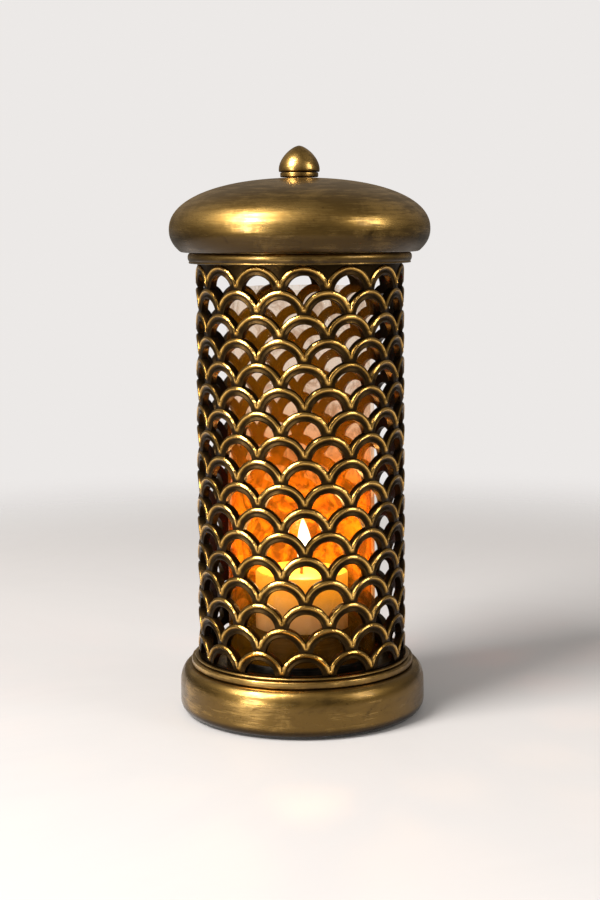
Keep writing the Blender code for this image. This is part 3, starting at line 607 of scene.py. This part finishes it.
class ArchTemplate:
    """One arch of the cage laid flat, its middle at (0, 0): points across its bar at stations along it.

    Its ring lies between the circles of radius a - bar_in and a + bar_out, a being half an arch. Its feet stand
    on the outer circles of the two arches below, and its sides meet the next arches at x = -a and x = a.
    """

    def __init__(self, sizes, radius):
        self.half = pi * radius / sizes.arches_round
        self.outer = self.half + sizes.bar_out
        self.inner = self.half - sizes.bar_in
        self.pitch = sizes.row_pitch
        self.sill = sizes.sill_drop

    def foot_corner(self):
        """Where the inner circle meets the outer circle of the arch below at the left: two circles' crossing."""
        span = self.half ** 2 + self.pitch ** 2
        offset = (span + self.inner ** 2 - self.outer ** 2) / 2
        along = sqrt(self.inner ** 2 - offset ** 2 / span)
        scale = sqrt(span)
        return (-(self.half * offset / scale + self.pitch * along) / scale,
                (-self.pitch * offset / scale + self.half * along) / scale)

    def half_strip(self, on_sill):
        """The left half of the arch as an array (station, across, 2), from its foot to its crown."""
        corner = (-sqrt(self.inner ** 2 - self.sill ** 2), self.sill) if on_sill else self.foot_corner()
        notch = sqrt(self.outer ** 2 - self.half ** 2)
        seam_foot = self.sill if on_sill else self.outer - self.pitch
        low = np.arctan2(corner[1], corner[0])
        high = np.arctan2(notch, -self.half)
        lean = np.arctan2(self.foot_corner()[0] + self.half, self.foot_corner()[1] + self.pitch)
        inner_turn = np.linspace(low, high, LEG_STEPS + 1)
        leg_inner = self.inner * np.stack([np.cos(inner_turn), np.sin(inner_turn)], -1)
        seam = np.linspace(seam_foot, notch, LEG_STEPS + 1)
        leg_outer = np.stack([np.full(LEG_STEPS + 1, -self.half), seam], -1)
        turns = np.concatenate([np.linspace(high, pi / 2 + lean, ARC_STEPS + 1)[1:],
                                pi / 2 + lean * (1 - ACROSS[1:])])
        round_arc = np.stack([np.cos(turns), np.sin(turns)], -1)
        inner = np.concatenate([leg_inner, self.inner * round_arc])
        outer = np.concatenate([leg_outer, self.outer * round_arc])
        strip = inner[:, None] + (outer - inner)[:, None] * ACROSS[None, :, None]
        if not on_sill:
            turn = pi / 2 - lean * (1 - ACROSS)
            strip[0] = np.stack([self.outer * np.cos(turn) - self.half, self.outer * np.sin(turn) - self.pitch], -1)
        return strip

    def strip(self, on_sill):
        """The whole arch: the left half and its mirror, joined at the crown."""
        left = self.half_strip(on_sill)
        return np.concatenate([left, left[-2::-1] * (-1, 1)])

    def relief(self, strip, sizes):
        """Height of the arch's surface over the cage's face, by the place across its bar.

        q = (distance from the middle - inner) / (outer - inner): a thin lip inside, a groove at 0.38, a round ridge
        at 0.72 and a bevel outside, eased into the arches below within a fifth of a bar of their circles.
        """
        q = (np.hypot(strip[..., 0], strip[..., 1]) - self.inner) / (self.outer - self.inner)
        rise = np.interp(q, ACROSS, RISE)
        clear = np.minimum(np.hypot(strip[..., 0] + self.half, strip[..., 1] + self.pitch),
                           np.hypot(strip[..., 0] - self.half, strip[..., 1] + self.pitch)) - self.outer
        ease = np.clip(clear / (BEVEL_SHARE * (self.outer - self.inner)), 0.0, 1.0)
        return sizes.groove * (RISE[-1] + (rise - RISE[-1]) * ease)


def grid_quads(rows, columns):
    """Corner numbers of every face of a grid, (rows - 1) * (columns - 1) by 4."""
    index = np.arange(rows * columns).reshape(rows, columns)
    return np.stack([index[:-1, :-1], index[1:, :-1], index[1:, 1:], index[:-1, 1:]], -1).reshape(-1, 4)


def tiled(patch, relief, offsets):
    """A patch (rows, columns, 2) laid down at every offset: flat points (n, 3) with the relief third, and faces."""
    flat = np.concatenate([patch, relief[..., None]], -1).reshape(-1, 3)
    shift = np.concatenate([offsets, np.zeros((len(offsets), 1))], 1)
    points = (flat[None] + shift[:, None]).reshape(-1, 3)
    quads = grid_quads(*patch.shape[:2])
    return points, (quads[None] + (np.arange(len(offsets)) * len(flat))[:, None, None]).reshape(-1, 4)


def joined(parts):
    """Several (points, faces) as one."""
    counts = np.cumsum([0] + [len(points) for points, _ in parts])
    return (np.concatenate([points for points, _ in parts]),
            np.concatenate([faces + count for (_, faces), count in zip(parts, counts)]))


def cage_surface(sizes, radius, bottom, top):
    """The cage's outer face, wrapped: angle = along / R + turn - 90 degrees, r = R + relief."""
    template = ArchTemplate(sizes, radius)
    columns = np.arange(sizes.arches_round) * 2 * template.half
    first = SILL_HEIGHT - sizes.sill_drop
    rows = np.arange(sizes.arch_rows)
    parts = []
    for on_sill, chosen in ((True, rows[:1]), (False, rows[1:])):
        strip = template.strip(on_sill)
        along = (columns[None] + template.half * (chosen % 2)[:, None]).ravel()
        up = np.repeat(first + chosen * sizes.row_pitch, len(columns))
        parts.append(tiled(strip, template.relief(strip, sizes), np.stack([along, up], -1)))
    parts.append(plates(template, sizes, columns, first + rows[-1] * sizes.row_pitch, rows[-1] % 2, top))
    parts.append(sill(template, sizes, columns, first, bottom))
    points, faces = joined(parts)
    angle = points[:, 0] / radius - pi / 2 + sizes.pattern_turn
    out = radius + points[:, 2]
    wrapped = np.stack([out * np.cos(angle), out * np.sin(angle), points[:, 1]], -1)
    return merged(wrapped, faces)


def plates(template, sizes, columns, row, odd, top):
    """The plain plates from the top row's crowns up to the cage's upper edge."""
    crown = template.strip(False)[LEG_STEPS:-LEG_STEPS, -1]
    edge = np.stack([crown[:, 0], np.full(len(crown), top - row)], -1)
    up = PLATE_SHARES[None, :, None]
    plate = crown[:, None] * (1 - up) + edge[:, None] * up
    depth = np.broadcast_to([RISE[-1] * sizes.groove, -sizes.band_recess, -sizes.band_recess], plate.shape[:2])
    return tiled(plate, depth, np.stack([columns + template.half * odd, np.full(len(columns), row)], -1))


def sill(template, sizes, columns, first, bottom):
    """The band under the first row, from the sill down to the cage's lower edge."""
    foot = template.strip(True)[0]
    between = np.linspace(foot[0, 0], -foot[0, 0], SILL_STEPS + 1)[1:-1]
    along = np.concatenate([foot[::-1, 0], between, -foot[:, 0]])
    strip = np.stack([np.stack([along, np.full(len(along), height)], -1)
                      for height in (bottom - first, sizes.sill_drop)], 1)
    edge = template.relief(foot, sizes)
    edge = np.concatenate([edge[::-1], np.full(len(between), RISE[0] * sizes.groove), edge])
    return tiled(strip, np.repeat(edge[:, None], 2, 1), np.stack([columns, np.full(len(columns), first)], -1))


def merged(points, faces):
    """The same surface with points closer than a hundredth of a millimetre made one."""
    _, first, number = np.unique(np.round(points, 5), axis=0, return_index=True, return_inverse=True)
    return points[first], number.ravel()[faces]


def walled_surface(points, faces, inner_radius):
    """Close a pierced tube: the outer face, the same face at the inner radius turned round, and the edges between.

    The inner radius is one number for each point. The outer points come first, then the inner ones.
    """
    scale = inner_radius / np.hypot(points[:, 0], points[:, 1])
    inside = points * np.stack([scale, scale, np.ones(len(points))], -1)
    edges = np.concatenate([faces[:, [k, (k + 1) % 4]] for k in range(4)])
    count = len(points)
    there = edges[:, 0].astype(np.int64) * count + edges[:, 1]
    back = edges[:, 1].astype(np.int64) * count + edges[:, 0]
    rim = edges[~np.isin(there, back)]
    sides = np.stack([rim[:, 1], rim[:, 0], rim[:, 0] + count, rim[:, 1] + count], -1)
    return np.concatenate([points, inside]), [np.concatenate([faces, faces[:, ::-1] + count, sides])]


class LANTERN_OT_cage(Operator):
    """Make the pierced cage of fish-scale arches"""

    bl_idname = "lantern.cage"
    bl_label = "Pierced cage"

    def execute(self, context):
        sizes = context.scene.lantern.cage
        _, bottom, top = reach("cage_lattice")
        lid_clear, foot_ease, lid_ease = 0.0005, 0.006, 0.004
        plate_height = top - 0.0068
        rubbed, rubbed_plate, rubbed_inside = 0.95, 0.55, 0.12
        points, faces = cage_surface(sizes, CAGE_RADIUS, bottom, top)
        raised, height = np.hypot(points[:, 0], points[:, 1]) - CAGE_RADIUS, points[:, 2]
        under_lid = reach("lid_locating_ring")[1] - lid_clear - height
        deep = np.clip((height - bottom) / foot_ease, 0.0, 1.0) * np.clip(under_lid / lid_ease, 0.0, 1.0)
        points, faces = walled_surface(points, faces, CAGE_RADIUS - sizes.wall - sizes.deepening * deep)
        ridge = np.clip(rubbed + raised / sizes.groove, 0.0, 1.0)
        ridge = np.where(height > plate_height, np.maximum(ridge, rubbed_plate), ridge)
        relief = np.concatenate([ridge * rubbed, np.full(len(raised), rubbed_inside)])
        made = mesh_object("pierced_cage", points, faces, relief=relief)
        settle(made, cast_brass, "lantern", "cast_brass", "cage_lattice")
        return {"FINISHED"}


class LANTERN_OT_rings(Operator):
    """Make the ring under the lid, the collar at the cage's foot and its bead"""

    bl_idname = "lantern.rings"
    bl_label = "Rings"

    def execute(self, context):
        bore = CAGE_RADIUS + GAP
        outer, low, high = reach("cage_top_ring")
        lip, inset, bulge = 0.0011, 0.0012, 0.6
        half = (high - low - lip) / 2
        ring = line((bore, low), arc((outer - inset, low + lip / 2), (lip / 2, lip / 2), -90, 60, 8),
                    arc((outer - half * bulge, low + lip + half), (half * bulge, half), -60, 90, 20), (bore, high))
        turned_piece("top_ring", ring, spun_brass, "lantern", "spun_brass", "cage_top_ring")
        outer, low, high = reach("cage_collar")
        ease, flange, flange_top = 0.0009, 0.05905, low + 0.002
        wall = line((flange, flange_top), (flange, low), low_corner(outer, low, ease),
                    high_corner(outer, high, ease), (bore, high), (bore, flange_top))
        turned_piece("foot_collar", wall, spun_brass, "lantern", "spun_brass", "cage_collar")
        outer, low, high = reach("cage_foot_bead")
        half = (high - low) / 2
        bead = line((bore, low), arc((outer - half, low + half), (half, half), -90, 90, 12), (bore, high))
        turned_piece("foot_bead", bead, spun_brass, "lantern", "spun_brass", "cage_foot_bead")
        return {"FINISHED"}


class LANTERN_OT_base(Operator):
    """Make the spun base"""

    bl_idname = "lantern.base"
    bl_label = "Base"

    def execute(self, context):
        sizes = context.scene.lantern.base
        belly, low, high = reach("base_shell")
        foot, lip = belly - sizes.foot_inset, 0.012
        under = arc((foot, sizes.belly_low), (belly - foot, sizes.belly_low - low), -90, 0, 10)
        over = arc((sizes.shoulder, sizes.belly_top), (belly - sizes.shoulder, high - sizes.belly_top), 0, 90, 18)
        outer = line((reach("base_felt")[0] - lip, low), (foot, low), under, over, (SCREW_HOLE, high))
        turned_piece("base", walled(filled(outer, 0.002), sizes.wall), spun_brass, "lantern", "spun_brass",
                     "base_shell")
        return {"FINISHED"}


class LANTERN_OT_lid(Operator):
    """Make the domed lid and the ring that seats it in the cage"""

    bl_idname = "lantern.lid"
    bl_label = "Lid"

    def execute(self, context):
        sizes = context.scene.lantern.lid
        low, high = reach("lid_dome")[1:]
        skirt = CAGE_RADIUS - context.scene.lantern.cage.wall - 2 * GAP
        outer = line((skirt + GAP, low), self.under(sizes), self.over(sizes), (SCREW_HOLE, high))
        turned_piece("dome", walled(outer, sizes.wall), spun_brass, "lid", "spun_brass", "lid_dome")
        radius, low, high = reach("lid_locating_ring")
        thick, ease = 0.0012, 0.0004
        seat = line((skirt - thick, low), (skirt - ease, low), (skirt, low + ease), (skirt, high - thick),
                    (radius, high - thick), (radius, high), (skirt - thick, high))
        turned_piece("lid_seat", filled(seat, 0.002), spun_brass, "lid", "spun_brass", "lid_locating_ring")
        return {"FINISHED"}

    def under(self, sizes):
        """The dome under its belly: r = R (1 - (d / D)^p)^(1 / p) at a depth d, D being the half ellipse's, to a curl.

        The curl is a round of its own radius that touches the dome's side and stands on the rim.
        """
        radius, low, _ = reach("lid_dome")
        curl, power, crowd = sizes.curl, sizes.roundness, 12
        drop = np.linspace(sizes.belly_height, 0.0, 400)
        side = radius * (1 - (drop / sizes.belly_drop) ** power) ** (1 / power)
        lean = np.arctan2(-np.gradient(side, drop), 1.0)
        start = np.argmax(sizes.belly_height - drop >= curl * (1 - np.sin(lean)))
        up = np.stack([side, low + sizes.belly_height - drop], -1)[start:][::-1][::crowd][::-1]
        middle = (side[start] - curl * cos(lean[start]), low + curl)
        return line(arc(middle, (curl, curl), -90, -np.degrees(lean[start]), 10), up)

    def over(self, sizes):
        """The dome over its belly: r = R cos(u)^(2 / p), z = belly + H sin(u)^(2 / p)."""
        radius, low, high = reach("lid_dome")
        belly, power = low + sizes.belly_height, 2 / sizes.roundness
        turn = np.radians(np.linspace(0, 90, 61))
        dome = np.stack([radius * np.cos(turn).clip(0) ** power, belly + (high - belly) * np.sin(turn) ** power], -1)
        return dome[dome[:, 0] > SCREW_HOLE + 0.0001]


class LANTERN_OT_finial(Operator):
    """Make the finial and its collar"""

    bl_idname = "lantern.finial"
    bl_label = "Finial"

    def execute(self, context):
        radius, low, high = reach("finial")
        widest, hole = low + 0.07 * (high - low), low + 0.0108
        part = np.linspace(1.0, 0.0, 40) ** 1.6
        acorn = np.stack([radius * np.sin(part * pi / 2) ** context.scene.lantern.lid.finial_swell,
                          high - (high - widest) * part], -1)
        outline = line((0.0, hole), (SCREW_HOLE, hole), (SCREW_HOLE, low),
                       arc((radius * 0.96, widest), (radius * 0.04, widest - low), -90, 0, 5), acorn)
        turned_piece("finial_knob", outline, spun_brass, "lid", "spun_brass", "finial", 96, False)
        radius, low, high = reach("finial_collar")
        ease = 0.0007
        collar = line((SCREW_HOLE, low), low_corner(radius, low, ease), high_corner(radius, high, ease),
                      (SCREW_HOLE, high))
        turned_piece("finial_ring", collar, spun_brass, "lid", "spun_brass", "finial_collar", 96)
        return {"FINISHED"}


class LANTERN_OT_chimney(Operator):
    """Make the glass chimney"""

    bl_idname = "lantern.chimney"
    bl_label = "Glass chimney"

    def execute(self, context):
        radius, low, high = reach("glass_chimney")
        wall = 0.0022
        outline = line((radius - wall, low), (radius, low), high_corner(radius, high, wall / 2, 8, 180))
        turned_piece("chimney_glass", outline, amber_glass, "chimney", "amber_glass", "glass_chimney", 128)
        return {"FINISHED"}


class LANTERN_OT_holders(Operator):
    """Make the dish that holds the chimney's foot and the cup that holds the candle"""

    bl_idname = "lantern.holders"
    bl_label = "Gallery and cup"

    def execute(self, context):
        wall, roll, step = 0.001, 0.0008, 0.004
        radius, low, high = reach("glass_gallery")
        dish = line((SCREW_HOLE, low), low_corner(radius, low, wall), high_corner(radius, high, wall / 2, 8, 180),
                    (radius - wall, low + wall), (SCREW_HOLE, low + wall))
        turned_piece("chimney_dish", filled(dish, step), dark_brass, "lantern", "dark_brass", "glass_gallery", 128)
        low, high = reach("candle_cup")[1:]
        bore = reach("candle")[0] + 2 * GAP
        outer = bore + wall
        cup = line((SCREW_HOLE, low), (outer - wall, low), (outer, low + wall),
                   arc((outer + roll * 0.5, high - roll), (roll, roll), -120, 120, 14),
                   (bore, high - roll), (bore, low + wall), (SCREW_HOLE, low + wall))
        turned_piece("candle_holder", filled(cup, step), dark_brass, "lantern", "dark_brass", "candle_cup", 128)
        return {"FINISHED"}


class LANTERN_OT_candle(Operator):
    """Make the pillar candle with its melted pool, and its braided wick"""

    bl_idname = "lantern.candle"
    bl_label = "Candle and wick"

    def execute(self, context):
        sizes = context.scene.lantern.candle
        radius, _, high = reach("candle")
        rim, soft, sag = radius - sizes.pool_rim, 0.012, 0.0005
        points, faces, spun = turned(filled(self.outline(sizes), 0.0025), 128, True)
        around = np.arctan2(points[:, 1], points[:, 0])
        upper = np.clip((points[:, 2] - (high - soft)) / soft, 0, 1)
        upper *= np.hypot(points[:, 0], points[:, 1]) > rim - 0.004
        points[:, 2] -= upper * sag * (1 + np.sin(around + 1.0) + 0.5 * np.sin(3 * around))
        made = mesh_object("pillar_candle", points, faces, spun=spun)
        settle(made, candle_wax, "candle", "wax", "candle")
        settle(self.braid(high - sizes.pool_depth), burnt_wick, "candle", "wick_cotton", "wick")
        return {"FINISHED"}

    def outline(self, sizes):
        """The candle's closed outline: the wick's bore, the sustainer's recess, the side, the rim and the pool.

        The bank from the rim to the pool falls by 3 s^2 - 2 s^3 of its depth at a share s of its width.
        """
        radius, low, high = reach("candle")
        pool, rim = high - sizes.pool_depth, radius - sizes.pool_rim
        foot_radius, _, foot_high = reach("wick_sustainer")
        bore, neck, recess = reach("wick")[0] + GAP, 0.0027, foot_radius + GAP
        tube, foot_ease, rim_ease = 0.004, 0.0008, 0.0013
        neck_top, disc_top = foot_high + GAP, foot_high - tube + GAP
        bank_out, bank_width, bank_foot, pool_slope = 0.0022, 0.0060, 0.0002, 0.0001
        sink = np.linspace(0.0, 1.0, 12)
        bank = np.stack([rim + bank_out - bank_width * sink,
                         high - (high - pool - bank_foot) * (3 * sink ** 2 - 2 * sink ** 3)], -1)
        return line((bore, pool), (bore, neck_top), (neck, neck_top), (neck, disc_top), (recess, disc_top),
                    (recess, low), low_corner(radius, low, foot_ease, 4), high_corner(radius, high, rim_ease, 6),
                    bank, (rim - 0.008, pool + pool_slope))

    def braid(self, pool):
        """The wick: a round of radius R (1 + b cos(3 t + turns)) carried up a path that leans over at its tip."""
        radius, low, high = reach("wick")
        twist, clear, lean, slim, lobe = 1800, pool + 0.004, 0.0016, 0.88, 0.12
        up = np.linspace(0.0, 1.0, 61)
        height = low + (high - low) * up
        bend = lean * np.clip((height - clear) / (high - clear), 0, 1) ** 2
        taper = np.clip((1.0 - up) / 0.03, 0.0, 1.0) ** 0.5 * np.clip(up / 0.01, 0.0, 1.0) ** 0.5
        turn = np.arange(24) * TAU / 24
        strands = 1 + lobe * np.cos(3 * turn[None] + twist * (height - low)[:, None])
        width = radius * slim * taper[:, None] * strands
        return spindle("braided_wick", np.stack([bend[:, None] + width * np.cos(turn), width * np.sin(turn),
                                                 height[:, None] + 0 * width], -1))


class LANTERN_OT_flame(Operator):
    """Make the flame and the light it gives"""

    bl_idname = "lantern.flame"
    bl_label = "Flame"

    def execute(self, context):
        sizes = context.scene.lantern.candle
        low, tall = sizes.flame_bottom, sizes.flame_top - sizes.flame_bottom
        lean, flat, swell, taper, lamp_height = 0.0012, 0.92, 1.72, 0.92, 0.45
        up = ((1 - np.cos(np.linspace(0, pi, 49))) / 2)[:, None]
        width = sizes.flame_radius * swell * np.sqrt(up) * (1 - up) ** taper
        turn = np.arange(48) * TAU / 48
        across = lean + lean / 2 * np.sin(up * 4.0) + width * np.cos(turn)
        flame = spindle("flame", np.stack([across, width * np.sin(turn) * flat, low + tall * up + 0 * across], -1))
        settle(flame, flame_light, "candle", "wax")
        flame.visible_shadow = False
        lamp = bpy.data.lights.new("flame_lamp", "POINT")
        lamp.energy, lamp.color, lamp.shadow_soft_size = sizes.flame_power, (1.0, 0.60, 0.22), 0.004
        glow = bpy.data.objects.new("flame_lamp", lamp)
        glow.location = (lean, 0.0, low + lamp_height * tall)
        context.scene.collection.objects.link(glow)
        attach(glow, "candle")
        return {"FINISHED"}


class LANTERN_OT_fasteners(Operator):
    """Give the CAD model's screws, nuts, washers, rivets, stud, sustainer and felt their finishes"""

    bl_idname = "lantern.fasteners"
    bl_label = "Fasteners and felt"

    def execute(self, context):
        steel = ("cage_screw", "cup_screw", "cup_washer", "cup_nut", "lid_washer", "lid_nut", "finial_stud",
                 "wick_sustainer", "lid_rivet")
        for name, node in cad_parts.items():
            if name == "base_felt":
                put_on(node, kept(felt))
            elif name.startswith(steel):
                put_on(node, kept(plain_steel))
        return {"FINISHED"}


def put_on(node, material):
    """Give every slot of a CAD node one finish."""
    if not node.data.materials:
        node.data.materials.append(material)
    for index in range(len(node.data.materials)):
        node.data.materials[index] = material


class LANTERN_OT_stage(Operator):
    """Make the floor, the lights, the backdrop and the camera"""

    bl_idname = "lantern.stage"
    bl_label = "Stage"

    def execute(self, context):
        stage, floor_height = context.scene.lantern.stage, -0.0002
        disc = [(0.0, floor_height), (stage.floor_radius, floor_height)]
        floor = mesh_object("floor", *turned(disc, 128, False)[:2])
        floor.data.flip_normals()
        floor.data.materials.append(kept(pale_floor))
        self.light("key_light", -52, 43, 1.9, (0.85, 1.15), stage.key_power, (1.0, 0.97, 0.935))
        self.light("side_light", 62, 24, 1.8, (0.6, 0.8), stage.side_power, (1.0, 0.96, 0.9))
        self.light("low_light", -46, 5, 1.9, (0.42, 0.55), stage.low_power, (1.0, 0.97, 0.93))
        self.surroundings(context)
        self.camera(context, stage)
        return {"FINISHED"}

    def light(self, name, azimuth, elevation, distance, size, power, tint):
        """A soft light on the lantern from a direction: azimuth from the camera's side, then height, in degrees."""
        lamp = bpy.data.lights.new(name, "AREA")
        lamp.shape, lamp.size, lamp.size_y = "RECTANGLE", *size
        lamp.energy, lamp.color = power, tint
        made = bpy.data.objects.new(name, lamp)
        turn, rise, middle = radians(azimuth), radians(elevation), Vector((0.0, 0.0, 0.17))
        way = Vector((sin(turn) * cos(rise), -cos(turn) * cos(rise), sin(rise)))
        made.location = middle + way * distance
        made.rotation_euler = way.to_track_quat("Z", "Y").to_euler()
        made.visible_camera = False
        bpy.context.scene.collection.objects.link(made)

    def surroundings(self, context):
        """A pale backdrop to the eye, and a dimmer room for the brass to reflect, lighter overhead."""
        world = bpy.data.worlds.new("pale_room")
        world.use_nodes = True
        context.scene.world = world
        context.scene.view_settings.view_transform = "Standard"
        nodes = Nodes(world.node_tree)
        height = nodes.part(nodes.node("ShaderNodeTexCoord").outputs["Generated"], "Z")
        up = nodes.node("ShaderNodeMapRange", {"Value": height, "From Min": -1.0, "From Max": 1.0})
        ramp = nodes.node("ShaderNodeValToRGB", {0: up.outputs[0]})
        stops = [(0.0, 0.20), (0.49, 0.20), (0.53, 0.09), (0.62, 0.17), (0.80, 0.28), (1.0, 0.16)]
        while len(ramp.color_ramp.elements) < len(stops):
            ramp.color_ramp.elements.new(0.5)
        for stop, (place, level) in zip(ramp.color_ramp.elements, stops):
            stop.position, stop.color = place, (level, level * 0.93, level * 0.83, 1.0)
        path = nodes.node("ShaderNodeLightPath").outputs
        room = nodes.mix(path["Is Glossy Ray"], (0.58, 0.57, 0.56), ramp.outputs[0])
        seen = nodes.mix(path["Is Camera Ray"], room, context.scene.lantern.colours.backdrop)
        nodes.feed(world.node_tree.nodes["Background"].inputs["Color"], seen)

    def camera(self, context, stage):
        """The camera before the lantern, its picture shifted down so that uprights stay nearly upright."""
        lens = bpy.data.cameras.new("camera")
        lens.lens, lens.sensor_width, lens.shift_y = stage.lens, 36.0, stage.shift
        lens.clip_start, lens.clip_end = 0.05, 50.0
        made = bpy.data.objects.new("camera", lens)
        made.location = (0.0, -stage.eye_distance, stage.eye_height)
        level = Euler((pi / 2 - stage.tilt, 0.0, 0.0)).to_matrix()
        made.rotation_euler = (level @ Matrix.Rotation(stage.roll, 3, "Z")).to_euler()
        context.scene.collection.objects.link(made)
        context.scene.camera = made


OPERATORS = (LANTERN_OT_stage, LANTERN_OT_cage, LANTERN_OT_rings, LANTERN_OT_base, LANTERN_OT_lid, LANTERN_OT_finial,
             LANTERN_OT_chimney, LANTERN_OT_holders, LANTERN_OT_candle, LANTERN_OT_flame, LANTERN_OT_fasteners)


class LANTERN_PT_panel(Panel):
    """The lantern's sizes, colours and pieces"""

    bl_label = "Hurricane Lantern"
    bl_idname = "LANTERN_PT_panel"
    bl_space_type = "VIEW_3D"
    bl_region_type = "UI"
    bl_category = "Lantern"

    def draw(self, context):
        settings = context.scene.lantern
        for group in (settings.cage, settings.lid, settings.base, settings.candle, settings.colours, settings.stage):
            box = self.layout.box()
            for key in group.bl_rna.properties.keys():
                if key not in {"rna_type", "name"}:
                    box.prop(group, key)
        for operator in OPERATORS:
            self.layout.operator(operator.bl_idname)


CLASSES = (LanternCageSizes, LanternLidSizes, LanternBaseSizes, LanternCandleSizes, LanternColours, LanternStageSizes,
           LanternSettings, *OPERATORS, LANTERN_PT_panel)


def register():
    """Add the lantern's classes and settings."""
    for item in CLASSES:
        bpy.utils.register_class(item)
    bpy.types.Scene.lantern = PointerProperty(type=LanternSettings)


def unregister():
    """Take the lantern's classes and settings away."""
    del bpy.types.Scene.lantern
    for item in reversed(CLASSES):
        bpy.utils.unregister_class(item)


def main():
    """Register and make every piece."""
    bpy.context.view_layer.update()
    register()
    bpy.ops.lantern.stage()
    bpy.ops.lantern.cage()
    bpy.ops.lantern.rings()
    bpy.ops.lantern.base()
    bpy.ops.lantern.lid()
    bpy.ops.lantern.finial()
    bpy.ops.lantern.chimney()
    bpy.ops.lantern.holders()
    bpy.ops.lantern.candle()
    bpy.ops.lantern.flame()
    bpy.ops.lantern.fasteners()


if __name__ == "__main__":
    main()
